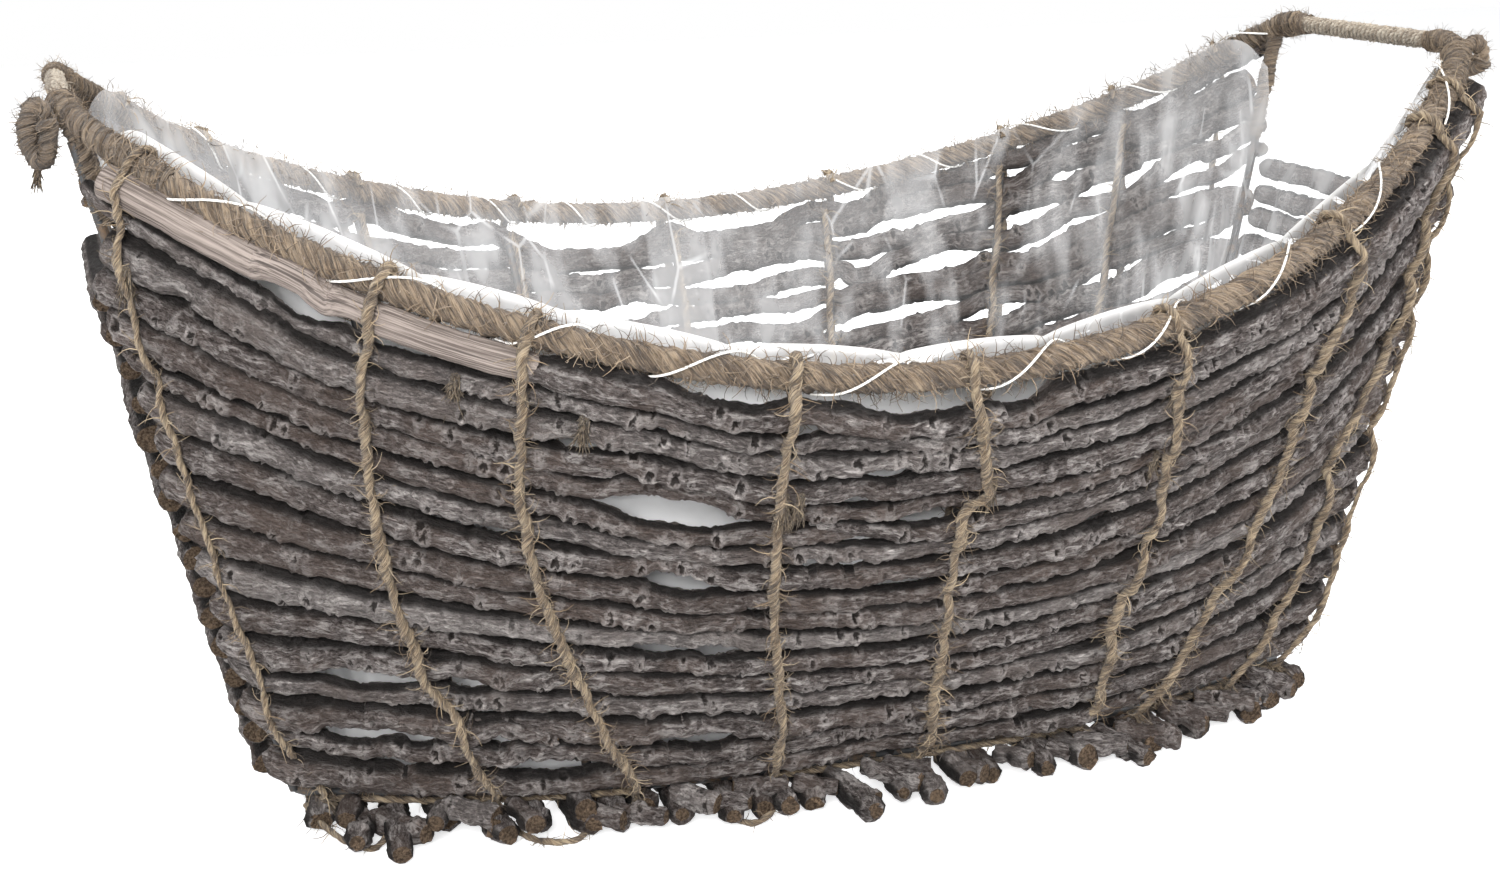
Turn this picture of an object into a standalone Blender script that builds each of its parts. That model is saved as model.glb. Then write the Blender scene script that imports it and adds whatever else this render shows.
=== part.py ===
"""Boat-shaped planter of coco sticks, lashed with jute to a wire frame and lined with film."""

import math
import random

import bmesh
import bpy
from mathutils import Matrix, Vector

# Size and sweep of the basket, in metres. X runs along it, the front is at -Y, and it stands on Z = 0.
RIM_HALF_LENGTH = 0.250
RIM_HALF_WIDTH = 0.1688
HANDLE_HALF_WIDTH = 0.0648
RIM_HEIGHT = 0.1695
HANDLE_HEIGHT = 0.2509
BASE_HALF_LENGTH = 0.194
BASE_HALF_WIDTH = 0.0885
BASE_END_HALF_WIDTH = 0.048
END_WALL_HEIGHT = 0.195

# How the outlines bend: powers and shares of the distance from the middle to an end
BASE_POWER = 2.6
RIM_FOURTH = 0.10
SHEER_FOURTH = -0.24
SHEER_SIXTH = 0.28

# Clearance between pieces that touch, and the reach of a weld between points
GAP = 0.0003
WELD = 0.00001

# Wires of the frame, by diameter
RIM_WIRE = 0.0038
RING_WIRE = 0.0040
RIB_WIRE = 0.0035
RIM_BEND = 0.014
RING_BEND = 0.006

# Coco sticks
SIDE_ROWS = 17
STICK = 0.0073
STICK_SPREAD = 0.14
STICK_TAPER = 0.10
STICK_LUMP = 0.05
ROW_CLEARANCE = 0.0007
SIDE_SETBACK = 0.034
SPLICE_GAP = 0.003
END_ROWS = 16
END_STICK = 0.0088
END_OVERHANG = 0.009
BASE_ROW = 28
BASE_STICK = 0.0095
FRONT_OVERHANG = 0.017
BACK_OVERHANG = 0.011

# Jute and thread
ROPE = 0.0088
TWINE = 0.0046
BASE_TWINE = 0.0026
FOOT_ROOM = 0.0030
BINDER = 0.0030
BINDER_INSET = 0.012
BINDER_HEIGHT = 0.0041
JOIN_DEPTH = 0.0018
LASHED_EVERY = 3
LASHING = 0.0160
HANDLE_STRAND = 0.0017
HANDLE_TURNS = 16
POINTS_PER_TURN = 8
TAIL_LENGTH = 0.020
THREAD = 0.0009
STITCH_STEP = 0.027
STITCH_POINTS = 6

# Plastic lining
FILM = 0.0004
FILM_ABOVE_RIM = 0.003
FILM_CUFF = 0.009
FILM_SLACK = 0.003
FILM_CORNER_OFFSET = 0.007
FILM_CORNER_TOP = 0.86

# The side walls are flat between bends: facets between the last two, as shares of the half length
FACETS = 8
LAST_BEND = 0.93

# Ribs as shares of the half length, counted from the middle
FRONT, BACK = -1, 1
SIDE_NAMES = {FRONT: "front", BACK: "back"}
RIBS = {
    FRONT: (-1.0, -0.70, -0.50, -0.20, 0.06, 0.37, 0.63, 0.84, 1.0),
    BACK: (-1.0, -0.80, -0.55, -0.28, 0.03, 0.31, 0.61, 0.80, 1.0),
}
BENDS = [LAST_BEND * (2 * i / FACETS - 1) for i in range(FACETS + 1)]

# Each lashing as (share of the slope, share of the half length) from the base to the rim
FRONT_LASHINGS = (
    ((0.10, -0.955), (0.50, -0.953), (0.76, -0.948), (0.97, -0.92)),
    ((0.10, -0.67), (0.21, -0.675), (0.27, -0.71), (0.48, -0.72), (0.68, -0.71), (0.82, -0.69), (0.97, -0.66)),
    ((0.10, -0.43), (0.20, -0.46), (0.32, -0.49), (0.50, -0.52), (0.70, -0.53), (0.87, -0.51), (0.97, -0.50)),
    ((0.10, -0.18), (0.21, -0.18), (0.54, -0.21), (0.82, -0.21), (0.97, -0.20)),
    ((0.10, 0.10), (0.22, 0.08), (0.53, 0.05), (0.71, 0.04), (0.76, 0.07), (0.97, 0.02)),
    ((0.10, 0.43), (0.17, 0.41), (0.36, 0.38), (0.59, 0.38), (0.75, 0.35), (0.97, 0.31)),
    ((0.10, 0.57), (0.24, 0.60), (0.48, 0.65), (0.80, 0.62), (0.86, 0.66), (0.97, 0.62)),
    ((0.10, 0.81), (0.28, 0.86), (0.50, 0.81), (0.64, 0.88), (0.97, 0.85)),
    ((0.10, 0.953), (0.50, 0.955), (0.97, 0.92)),
)
BACK_LASHINGS = (
    ((0.10, -0.955), (0.50, -0.953), (0.97, -0.92)),
    ((0.10, -0.79), (0.35, -0.80), (0.62, -0.82), (0.97, -0.80)),
    ((0.10, -0.53), (0.30, -0.56), (0.66, -0.54), (0.97, -0.55)),
    ((0.10, -0.27), (0.40, -0.29), (0.70, -0.31), (0.97, -0.26)),
    ((0.10, 0.04), (0.30, 0.02), (0.55, 0.05), (0.97, 0.02)),
    ((0.10, 0.30), (0.35, 0.33), (0.60, 0.31), (0.97, 0.32)),
    ((0.10, 0.58), (0.40, 0.60), (0.60, 0.62), (0.97, 0.61)),
    ((0.10, 0.79), (0.30, 0.80), (0.67, 0.82), (0.97, 0.78)),
    ((0.10, 0.953), (0.50, 0.955), (0.97, 0.92)),
)

# Wider slits in the front wall: (row below, share of the half length, half width, strength)
FRONT_SLITS = ((13, -0.37, 0.09, 3.0), (10, -0.34, 0.07, 1.6), (2, -0.55, 0.08, 1.8), (16, -0.74, 0.06, 2.2))

# Base sticks that stray further out at the front: place in the row, extra length
FRONT_STRAYS = {1: 0.012, 2: 0.026, 6: 0.009, 13: 0.012, 15: 0.012}

COLOURS = {
    "stick": (0.235, 0.195, 0.165),
    "wire": (0.070, 0.072, 0.075),
    "jute": (0.330, 0.235, 0.135),
    "pale_jute": (0.520, 0.430, 0.310),
    "thread": (0.800, 0.790, 0.760),
    "film": (0.800, 0.810, 0.820),
}
METALLIC = {"wire": 0.9}
ROUGHNESS = {"film": 0.25, "wire": 0.45}


def clear_scene():
    for item in list(bpy.data.objects):
        bpy.data.objects.remove(item, do_unlink=True)


def make_collection(name):
    collection = bpy.data.collections.new(name)
    bpy.context.scene.collection.children.link(collection)
    return collection


def make_material(node, finish):
    material = bpy.data.materials.new(node)
    material.use_nodes = True
    shader = material.node_tree.nodes["Principled BSDF"]
    shader.inputs["Base Color"].default_value = (*COLOURS[finish], 1.0)
    shader.inputs["Roughness"].default_value = ROUGHNESS.get(finish, 0.85)
    shader.inputs["Metallic"].default_value = METALLIC.get(finish, 0.0)
    return material


clear_scene()
PARTS = make_collection("coco_stick_planter")
JOINERS = make_collection("joined_pieces")


def place(item, finish):
    item.data.materials.append(make_material(item.name, finish))
    PARTS.objects.link(item)
    return item


# Shape of the basket

def along_facets(curve, s):
    """Value at s of a function that runs straight from bend to bend."""
    places = [-1.0, *BENDS, 1.0]
    index = 0
    while index < len(places) - 2 and s > places[index + 1]:
        index += 1
    low, high = places[index], places[index + 1]
    share = (s - low) / (high - low)
    return curve(low) * (1 - share) + curve(high) * share


def base_curve(s, side):
    y = BASE_HALF_WIDTH + (BASE_END_HALF_WIDTH - BASE_HALF_WIDTH) * abs(s) ** BASE_POWER
    z = BASE_STICK + GAP + RING_WIRE / 2
    return Vector((BASE_HALF_LENGTH * s, side * y, z))


def rim_curve(s, side):
    narrowing = (1 - RIM_FOURTH) * s**2 + RIM_FOURTH * s**4
    rise = (1 - SHEER_FOURTH - SHEER_SIXTH) * s**2 + SHEER_FOURTH * s**4 + SHEER_SIXTH * s**6
    y = RIM_HALF_WIDTH + (HANDLE_HALF_WIDTH - RIM_HALF_WIDTH) * narrowing
    z = RIM_HEIGHT + (HANDLE_HEIGHT - RIM_HEIGHT) * rise
    return Vector((RIM_HALF_LENGTH * s, side * y, z))


def base_point(s, side):
    """Centre of the base ring at share s of the half length."""
    return along_facets(lambda place_s: base_curve(place_s, side), s)


def rim_point(s, side):
    """Centre of the rim wire at share s of the half length."""
    return along_facets(lambda place_s: rim_curve(place_s, side), s)


def slope_length(s, side):
    return (rim_point(s, side) - base_point(s, side)).length


def wall_point(s, height, side, out):
    """Point at a height up the straight rib line at s, moved outwards square to the wall."""
    foot = base_point(s, side)
    rise = rim_point(s, side) - foot
    share = height / rise.length
    outward = -side * wall_run(s, share, side).cross(rise)
    return foot + rise * share + outward.normalized() * out


def wall_run(s, share, side):
    """Unit vector along the wall at a share of its slope."""
    step = 0.001
    base_run = base_point(s + step, side) - base_point(s - step, side)
    rim_run = rim_point(s + step, side) - rim_point(s - step, side)
    return base_run.lerp(rim_run, share).normalized()


def lean(s, share, side):
    """Sine and cosine of the angle by which a rib leans from square to what runs along the wall."""
    rise = (rim_point(s, side) - base_point(s, side)).normalized()
    sine = abs(rise.dot(wall_run(s, share, side)))
    return sine, math.sqrt(1 - sine**2)


def around_rim(s, side, angle, radius):
    """Point on a ring square to the rim wire: angle 0 faces outwards and 90 degrees faces up."""
    run = wall_run(s, 1, side)
    outward = (wall_point(s, slope_length(s, side), side, 1) - rim_point(s, side)).normalized()
    up = -side * outward.cross(run)
    return rim_point(s, side) + (outward * math.cos(angle) + up * math.sin(angle)) * radius


def end_point(y_share, height, end, out):
    """Point of an end wall, at a share of its half width and a height up its slope."""
    foot = Vector((BASE_HALF_LENGTH, 0, base_point(1, BACK).z))
    rise = Vector((RIM_HALF_LENGTH, 0, HANDLE_HEIGHT)) - foot
    share = height / rise.length
    outward = Vector((rise.z, 0, -rise.x)).normalized()
    point = foot + rise * share + outward * out
    half_width = BASE_END_HALF_WIDTH + (HANDLE_HALF_WIDTH - BASE_END_HALF_WIDTH) * share
    return Vector((end * point.x, y_share * half_width, point.z))


def end_slope_height(z):
    """Height up the end wall's slope that lies at level z."""
    foot = base_point(1, BACK).z
    length = math.hypot(RIM_HALF_LENGTH - BASE_HALF_LENGTH, HANDLE_HEIGHT - foot)
    return length * (z - foot) / (HANDLE_HEIGHT - foot)


def smooth_wave(rng):
    """A slow random curve between about -1 and 1."""
    waves = [(rng.uniform(2.0, 7.0), rng.uniform(0, 2 * math.pi)) for _ in range(3)]
    return lambda s: sum(math.sin(rate * s + phase) for rate, phase in waves) / 3


# Builders

def curve_item(name, paths, diameter, sides_level=1, cyclic=False, capped=True):
    """A curve object with a straight-pointed tube along each (points, radii) path."""
    curve = bpy.data.curves.new(name, "CURVE")
    curve.dimensions = "3D"
    curve.bevel_depth = diameter / 2
    curve.bevel_resolution = sides_level
    curve.use_fill_caps = capped and not cyclic
    for points, radii in paths:
        spline = curve.splines.new("POLY")
        spline.points.add(len(points) - 1)
        spline.use_cyclic_u = cyclic
        for target, point, radius in zip(spline.points, points, radii):
            target.co = (*point, 1)
            target.radius = radius / curve.bevel_depth
    return bpy.data.objects.new(name, curve)


def tube(name, paths, finish, diameter, sides_level=1, cyclic=False):
    return place(curve_item(name, paths, diameter, sides_level, cyclic), finish)


def even(points, diameter):
    return points, [diameter / 2] * len(points)


def as_mesh(item):
    """Turn a curve object into a mesh with welded caps, and remove the curve."""
    PARTS.objects.link(item)
    graph = bpy.context.evaluated_depsgraph_get()
    mesh = bpy.data.meshes.new_from_object(item.evaluated_get(graph))
    name = item.name
    bpy.data.objects.remove(item, do_unlink=True)
    build = bmesh.new()
    build.from_mesh(mesh)
    bmesh.ops.remove_doubles(build, verts=build.verts, dist=WELD)
    build.to_mesh(mesh)
    build.free()
    mesh.materials.clear()
    mesh.name = name
    return mesh


def sleeve(name, points, finish, diameter, bore, swell=None):
    """A round sleeve with an open bore along a path, closed by Solidify."""
    swell = swell or [1.0] * len(points)
    radii = [diameter / 2 * factor for factor in swell]
    mesh = as_mesh(curve_item(name, [(points, radii)], diameter, capped=False))
    item = place(bpy.data.objects.new(name, mesh), finish)
    wall = item.modifiers.new("wall", "SOLIDIFY")
    flat_to_flat = diameter / 2 * min(swell) * math.cos(math.pi / 6)
    wall.thickness = flat_to_flat - bore / 2
    wall.offset = -1
    return item


def join_to(item, mesh):
    """Fuse a mesh of pieces that reach into the item with it, as one body."""
    joiner = bpy.data.objects.new(item.name + "_joined", mesh)
    joiner.hide_render = True
    joiner.display_type = "WIRE"
    JOINERS.objects.link(joiner)
    union = item.modifiers.new("join", "BOOLEAN")
    union.operation = "UNION"
    union.object = joiner
    return item


# Frame

def bend(start, corner, finish_point, steps=4):
    """Points of a rounded corner between two straight legs."""
    points = []
    for i in range(steps + 1):
        u = i / steps
        points.append(start.lerp(corner, u).lerp(corner.lerp(finish_point, u), u))
    return points


def rim_corner(end, side, steps=4):
    """From the side curve round to the handle."""
    reach = 1 - RIM_BEND / RIM_HALF_LENGTH
    on_handle = Vector((end * RIM_HALF_LENGTH, side * (HANDLE_HALF_WIDTH - RIM_BEND), HANDLE_HEIGHT))
    return bend(rim_point(end * reach, side), rim_point(end, side), on_handle, steps)


def ring_corner(end, side):
    reach = 1 - RING_BEND / BASE_HALF_LENGTH
    corner = base_point(end, side)
    on_end = corner + Vector((0, -side * RING_BEND, 0))
    return bend(base_point(end * reach, side), corner, on_end)


def closed_loop(point_at, corner_at):
    front = [point_at(s, FRONT) for s in BENDS]
    back = [point_at(s, BACK) for s in reversed(BENDS)]
    right = corner_at(1, FRONT) + corner_at(1, BACK)[::-1]
    left = corner_at(-1, BACK) + corner_at(-1, FRONT)[::-1]
    return front + right + back + left


def rib_height(s, side):
    """Height of a rib's head, just under what is wound on the rim above it."""
    height = slope_length(s, side)
    if abs(s) < 1:
        sine, cosine = lean(s, 1, side)
        return height - (ROPE / 2 + GAP + RIB_WIRE / 2 * sine) / cosine
    wound = rim_corner(s, side, steps=16)
    clear = LASHING / 2 + RIB_WIRE / 2 + GAP
    while min((wall_point(s, height, side, 0) - point).length for point in wound) < clear:
        height -= GAP
    return height


def make_frame():
    """The rim wire, and the base ring with all the upright ribs welded to it."""
    tube("rim_wire", [even(closed_loop(rim_point, rim_corner), RIM_WIRE)], "wire", RIM_WIRE, cyclic=True)
    ring = curve_item("base_ring_with_ribs", [even(closed_loop(base_point, ring_corner), RING_WIRE)],
                      RING_WIRE, cyclic=True)
    ribs = []
    for side in SIDE_NAMES:
        for s in RIBS[side]:
            foot = wall_point(s, 0, side, 0)
            head = wall_point(s, rib_height(s, side), side, 0)
            ribs.append(even([foot, head], RIB_WIRE))
    cage = place(bpy.data.objects.new("base_ring_with_ribs", as_mesh(ring)), "wire")
    join_to(cage, as_mesh(curve_item("ribs", ribs, RIB_WIRE)))


# Rows of sticks along the sides

class Row:
    """One row of sticks: its radius and the height of its centre up the slope, as functions of s."""

    def __init__(self, wall, index):
        self.wall = wall
        self.index = index

    def radius(self, s):
        return along_facets(lambda place_s: self.wall.radius(self.index, place_s), s)

    def height(self, s):
        return along_facets(lambda place_s: self.wall.height(self.index, place_s), s)

    def centre(self, s):
        return wall_point(s, self.height(s), self.wall.side, RIB_WIRE / 2 + GAP + self.radius(s))


class SideWall:
    """Shares out the slope between sticks of unlike thickness and slits of unlike width."""

    def __init__(self, side, seed, slits):
        rng = random.Random(seed)
        self.side = side
        self.slits = slits
        self.count = SIDE_ROWS
        self.thickness = [1 + STICK_SPREAD * rng.uniform(-1, 1) for _ in range(self.count)]
        self.taper = [STICK_TAPER * (1 if i % 2 else -1) for i in range(self.count)]
        self.lumps = [smooth_wave(rng) for _ in range(self.count)]
        self.gaps = [smooth_wave(rng) for _ in range(self.count + 1)]
        mean = sum(self.thickness) / self.count
        self.thickness = [value / mean for value in self.thickness]
        self.rows = [Row(self, index) for index in range(self.count)]

    def low(self):
        return RING_WIRE / 2 + FOOT_ROOM

    def room(self, s):
        near_corner = min(max((abs(s) - 0.80) / 0.12, 0), 1)
        top = ROPE / 2 + (LASHING - ROPE) / 2 * near_corner
        _, cosine = lean(s, 1, self.side)
        return slope_length(s, self.side) - self.low() - top / cosine - GAP

    def radius(self, index, s):
        _, cosine = lean(s, (index + 1) / self.count, self.side)
        swell = cosine * slope_length(s, self.side) / slope_length(0, self.side)
        shape = 1 + self.taper[index] * s + STICK_LUMP * self.lumps[index](s)
        return STICK / 2 * swell * self.thickness[index] * shape

    def gap_weight(self, index, s):
        weight = 0.06 + (0.5 + 0.5 * self.gaps[index](s)) ** 2
        for row, place_s, half_width, strength in self.slits:
            if row == index:
                weight += strength * math.exp(-(((s - place_s) / half_width) ** 2))
        return weight

    def height(self, index, s):
        radii = [self.radius(i, s) for i in range(self.count)]
        weights = [self.gap_weight(i, s) for i in range(self.count + 1)]
        slack = self.room(s) - 2 * sum(radii) - (self.count + 1) * ROW_CLEARANCE
        share = slack / sum(weights)
        below = sum(2 * radius for radius in radii[:index])
        slits = sum(ROW_CLEARANCE + share * weight for weight in weights[: index + 1])
        return self.low() + below + slits + radii[index]


WALLS = {
    FRONT: SideWall(FRONT, 11, FRONT_SLITS),
    BACK: SideWall(BACK, 23, ()),
}
# Rows made of two sticks, as row and share of the half length where they meet
FRONT_SPLICES = {13: -0.42, 8: 0.29, 2: -0.60, 11: -0.10}


def make_rows(side, splices):
    wall = WALLS[side]
    last = 1 - SIDE_SETBACK
    for row in wall.rows:
        spans = {"": (-last, last)}
        if row.index in splices:
            cut = splices[row.index]
            half = SPLICE_GAP / 2 / RIM_HALF_LENGTH
            spans = {"_left": (-last, cut - half), "_right": (cut + half, last)}
        for suffix, (start, stop) in spans.items():
            places = [start, *(s for s in BENDS if start < s < stop), stop]
            path = [row.centre(s) for s in places], [row.radius(s) for s in places]
            name = f"{SIDE_NAMES[side]}_stick_{row.index + 1:02d}{suffix}"
            tube(name, [path], "stick", STICK)


# End walls and base

def end_stick_rows(end):
    """(height up the slope, radius) of each end stick, from the base up."""
    rng = random.Random(40 + end)
    low = RING_WIRE / 2 + FOOT_ROOM
    room = end_slope_height(END_WALL_HEIGHT) - low
    count = END_ROWS
    radii = [END_STICK / 2 * (1 + STICK_SPREAD * rng.uniform(-1, 1)) for _ in range(count)]
    weights = [rng.uniform(0.2, 1.0) for _ in range(count)]
    slack = room - 2 * sum(radii) - count * ROW_CLEARANCE
    rows = []
    height = low
    for radius, weight in zip(radii, weights):
        height += ROW_CLEARANCE + slack * weight / sum(weights)
        rows.append((height + radius, radius))
        height += 2 * radius
    return rows


def make_end_panel(end, name):
    """Cross sticks of an end wall, held together as a mat by their two lashings."""
    rng = random.Random(50 + end)
    sticks = []
    strands = {FRONT: [], BACK: []}
    lashing_out = RIB_WIRE / 2 + GAP + END_STICK + TWINE / 2 - JOIN_DEPTH
    for row, (height, radius) in enumerate(end_stick_rows(end)):
        out = RIB_WIRE / 2 + GAP + radius
        ends = []
        for side in (FRONT, BACK):
            point = end_point(side, height, end, out)
            point.y += side * (END_OVERHANG + rng.uniform(-0.002, 0.003))
            ends.append(point)
            if row % LASHED_EVERY == 0:
                drift = 0.93 + 0.03 * (-1) ** (row // LASHED_EVERY)
                strands[side].append(end_point(side * drift, height, end, lashing_out))
        sticks.append((ends, [radius, radius]))
    lashings = [even(points, TWINE) for points in strands.values()]
    lashing_mesh = as_mesh(curve_item(f"{name}_end_lashings", lashings, TWINE, sides_level=0))
    panel = place(bpy.data.objects.new(f"{name}_end_wall", lashing_mesh), "stick")
    join_to(panel, as_mesh(curve_item(f"{name}_end_sticks", sticks, END_STICK)))


def base_stick_places():
    """(x, diameter) of each base stick; every third has the full diameter and touches the floor."""
    rng = random.Random(7)
    span = 2 * BASE_HALF_LENGTH - BASE_STICK
    step = span / (BASE_ROW - 1)
    places = []
    for i in range(BASE_ROW):
        diameter = BASE_STICK * (1 if i % 3 == 0 else rng.uniform(0.84, 0.97))
        places.append((-span / 2 + i * step, diameter))
    return places


def base_overhang(side, index, rng):
    if side == FRONT:
        return FRONT_OVERHANG + rng.uniform(-0.008, 0.008) + FRONT_STRAYS.get(index, 0)
    return BACK_OVERHANG + rng.uniform(-0.004, 0.006)


def base_stick_mesh():
    """Cross sticks under the ring, their tops level, each with a flat underside."""
    rng = random.Random(8)
    mesh = bpy.data.meshes.new("base_sticks")
    build = bmesh.new()
    sides = 6
    for index, (x, diameter) in enumerate(base_stick_places()):
        reach = []
        for side in (FRONT, BACK):
            y = abs(base_point(x / BASE_HALF_LENGTH, side).y)
            reach.append(side * (y + base_overhang(side, index, rng)))
        radius = diameter / 2 / math.cos(math.pi / sides)
        middle = Vector((x, sum(reach) / 2, BASE_STICK - diameter / 2))
        turn = Matrix.Rotation(math.pi / 2, 4, "X") @ Matrix.Rotation(math.pi / sides, 4, "Z")
        bmesh.ops.create_cone(
            build,
            cap_ends=True,
            segments=sides,
            radius1=radius,
            radius2=radius,
            depth=reach[1] - reach[0],
            matrix=Matrix.Translation(middle) @ turn,
        )
    build.to_mesh(mesh)
    build.free()
    return mesh


def make_base_mat():
    """The base sticks, woven into a mat by a strand along each side."""
    binders = []
    for side in SIDE_NAMES:
        points = []
        for x, _ in base_stick_places()[::3]:
            point = base_point(x / BASE_HALF_LENGTH, side)
            point.y -= side * BINDER_INSET
            point.z = BINDER_HEIGHT
            points.append(point)
        binders.append(even(points, BINDER))
    binder_mesh = as_mesh(curve_item("binders", binders, BINDER, sides_level=0))
    mat = place(bpy.data.objects.new("base_mat", binder_mesh), "stick")
    join_to(mat, base_stick_mesh())


# Jute

def make_rim_wraps():
    reach = 1 - RIM_BEND / RIM_HALF_LENGTH
    for side, name in SIDE_NAMES.items():
        places = [-reach + GAP / RIM_HALF_LENGTH, *BENDS, reach - GAP / RIM_HALF_LENGTH]
        points = [rim_point(s, side) for s in places]
        sleeve(f"{name}_rim_wrap", points, "jute", ROPE, RIM_WIRE + 2 * GAP)


def make_corner_lashings():
    """A fat jute binding round each corner of the rim, its loose end hanging beside the handle gap."""
    for side, side_name in SIDE_NAMES.items():
        for end, end_name in ((-1, "left"), (1, "right")):
            name = f"{side_name}_{end_name}_corner_lashing"
            swell = [0.82, 1.0, 0.96, 1.0, 0.82]
            item = sleeve(name, rim_corner(end, side), "jute", LASHING, RIM_WIRE + 2 * GAP, swell)
            top = rim_corner(end, side)[3] + Vector((0, 0, -LASHING / 3))
            low = top + Vector((end * 0.001, 0, -TAIL_LENGTH))
            tail = [([top, low], [TWINE * 0.6, TWINE * 0.45])]
            join_to(item, as_mesh(curve_item(name + "_tail", tail, TWINE)))


def handle_turns(end):
    """Points of the strand wound round one handle, its two ends running out along the wire."""
    half = HANDLE_HALF_WIDTH - RIM_BEND - GAP - HANDLE_STRAND
    radius = (RIM_WIRE / 2 + GAP + HANDLE_STRAND / 2) / math.cos(math.pi / POINTS_PER_TURN)
    count = HANDLE_TURNS * POINTS_PER_TURN
    points = []
    for i in range(count + 1):
        angle = 2 * math.pi * i / POINTS_PER_TURN
        y = -half + 2 * half * i / count
        x = end * RIM_HALF_LENGTH + radius * math.cos(angle)
        points.append(Vector((x, y, HANDLE_HEIGHT + radius * math.sin(angle))))
    run_out = Vector((0, HANDLE_STRAND, 0))
    return [points[0] - run_out, *points, points[-1] + run_out]


def least_self_gap(points, diameter, skip):
    """Smallest clear distance between stretches of one strand that are more than skip points apart."""
    least = math.inf
    for i, first in enumerate(points):
        for second in points[i + skip:]:
            least = min(least, (first - second).length - diameter)
    return least


def make_handle_windings():
    for end, name in ((-1, "left"), (1, "right")):
        points = handle_turns(end)
        gap = least_self_gap(points, HANDLE_STRAND, POINTS_PER_TURN - 1)
        print(f"{name} handle winding: {HANDLE_TURNS} turns, least gap to itself {gap * 1000:.2f} mm")
        tube(f"{name}_handle_winding", [even(points, HANDLE_STRAND)], "pale_jute", HANDLE_STRAND)


def widest_near(wall, s, low, high):
    """Largest stick radius at s among the rows that lie between two heights."""
    near = [row.radius(s) for row in wall.rows if low - 2 * STICK < row.height(s) < high + 2 * STICK]
    return max(near)


def hook_over_rim(s, side):
    """Points that carry a lashing over the rim wrap, from its outer side to its top."""
    step = math.radians(50)
    radius = (ROPE / 2 + GAP + TWINE / 2) / math.cos(step / 2)
    return [around_rim(s, side, i * step, radius) for i in range(3)]


def foot_round_first_row(s, side):
    """Points that carry a lashing from the ring, under the lowest stick, to its outer side."""
    lowest = WALLS[side].rows[0]
    radius = lowest.radius(s)
    centre_height = lowest.height(s)
    centre_out = RIB_WIRE / 2 + GAP + radius
    step = math.radians(45)
    reach = (radius + GAP + BASE_TWINE / 2) / math.cos(step / 2)
    points = [run_point(s, side)]
    for i in range(3):
        angle = math.radians(-95) + i * step
        height = centre_height + reach * math.sin(angle)
        points.append(wall_point(s, height, side, centre_out + reach * math.cos(angle)))
    return points


def run_point(s, side):
    """Centre of the thin strand that runs along the outer side of the base ring."""
    point = base_point(s, side)
    point.y += side * (RING_WIRE / 2 + 3 * GAP + BASE_TWINE / 2)
    point.z = BASE_STICK + GAP + BASE_TWINE / 2
    return point


def lashing_path(side, route):
    wall = WALLS[side]
    heights = [share * slope_length(s, side) for share, s in route]
    points = []
    for i, (_, s) in enumerate(route):
        low = heights[max(i - 1, 0)]
        high = heights[min(i + 1, len(route) - 1)]
        radius = widest_near(wall, s, low, high)
        out = RIB_WIRE / 2 + 2 * GAP + 2 * radius + TWINE / 2 + ROW_CLEARANCE
        points.append(wall_point(s, heights[i], side, out))
    points += hook_over_rim(route[-1][1], side)
    foot = foot_round_first_row(route[0][1], side)
    return foot + points, [BASE_TWINE / 2] * len(foot) + [TWINE / 2] * len(points)


def make_side_lashings():
    """Three lashings to a strand: each climbs from the run along the base and hooks over the rim."""
    for side, routes in ((FRONT, FRONT_LASHINGS), (BACK, BACK_LASHINGS)):
        for i, place_name in enumerate(("left", "middle", "right")):
            group = routes[3 * i:3 * i + 3]
            first = group[0][0][1]
            last = group[-1][0][1]
            start = first - BASE_TWINE / BASE_HALF_LENGTH
            stop = last + BASE_TWINE / BASE_HALF_LENGTH
            inner = [s for s in BENDS if start < s < stop]
            run = [run_point(s, side) for s in (start, *inner, stop)]
            name = f"{SIDE_NAMES[side]}_{place_name}_lashings"
            run_mesh = as_mesh(curve_item(name + "_run", [even(run, BASE_TWINE)], BASE_TWINE))
            strand = place(bpy.data.objects.new(name, run_mesh), "jute")
            climbs = [lashing_path(side, route) for route in group]
            join_to(strand, as_mesh(curve_item(name + "_climbs", climbs, TWINE)))


# Lining and its stitches

def film_levels(top):
    """Heights up a wall where the film has points: at its foot, up the sticks, then beside the rim."""
    return 0, top / 3, top * 2 / 3, top - 2.5 * FILM_CUFF, top - FILM_CUFF, top


def side_film_column(s, side):
    at_wire = RING_WIRE / 2 + GAP + FILM / 2
    at_rim = stitch_radius() + THREAD / 2 + 3 * GAP + FILM / 2
    top = slope_length(s, side) + FILM_ABOVE_RIM
    offsets = [at_wire] + [at_wire + FILM_SLACK] * 3 + [at_rim] * 2
    if abs(s) == 1:
        top = slope_length(s, side) * FILM_CORNER_TOP
        offsets = [FILM_CORNER_OFFSET] * 6
    inward = wall_point(s, 0, side, -offsets[0]) - base_point(s, side)
    inward.z = 0
    foot = base_point(s, side) + inward.normalized() * offsets[0]
    foot.z = BASE_STICK + GAP + FILM / 2
    return [foot, *(wall_point(s, height, side, -out) for height, out in zip(film_levels(top), offsets))]


def end_film_column(y_share, end):
    offset = RING_WIRE / 2 + GAP + FILM / 2
    foot_z = BASE_STICK + GAP + FILM / 2
    foot = Vector((end * (BASE_HALF_LENGTH - offset), y_share * BASE_END_HALF_WIDTH, foot_z))
    top = end_slope_height(END_WALL_HEIGHT) + FILM_ABOVE_RIM
    return [foot, *(end_point(y_share, height, end, -offset) for height in film_levels(top))]


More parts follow.
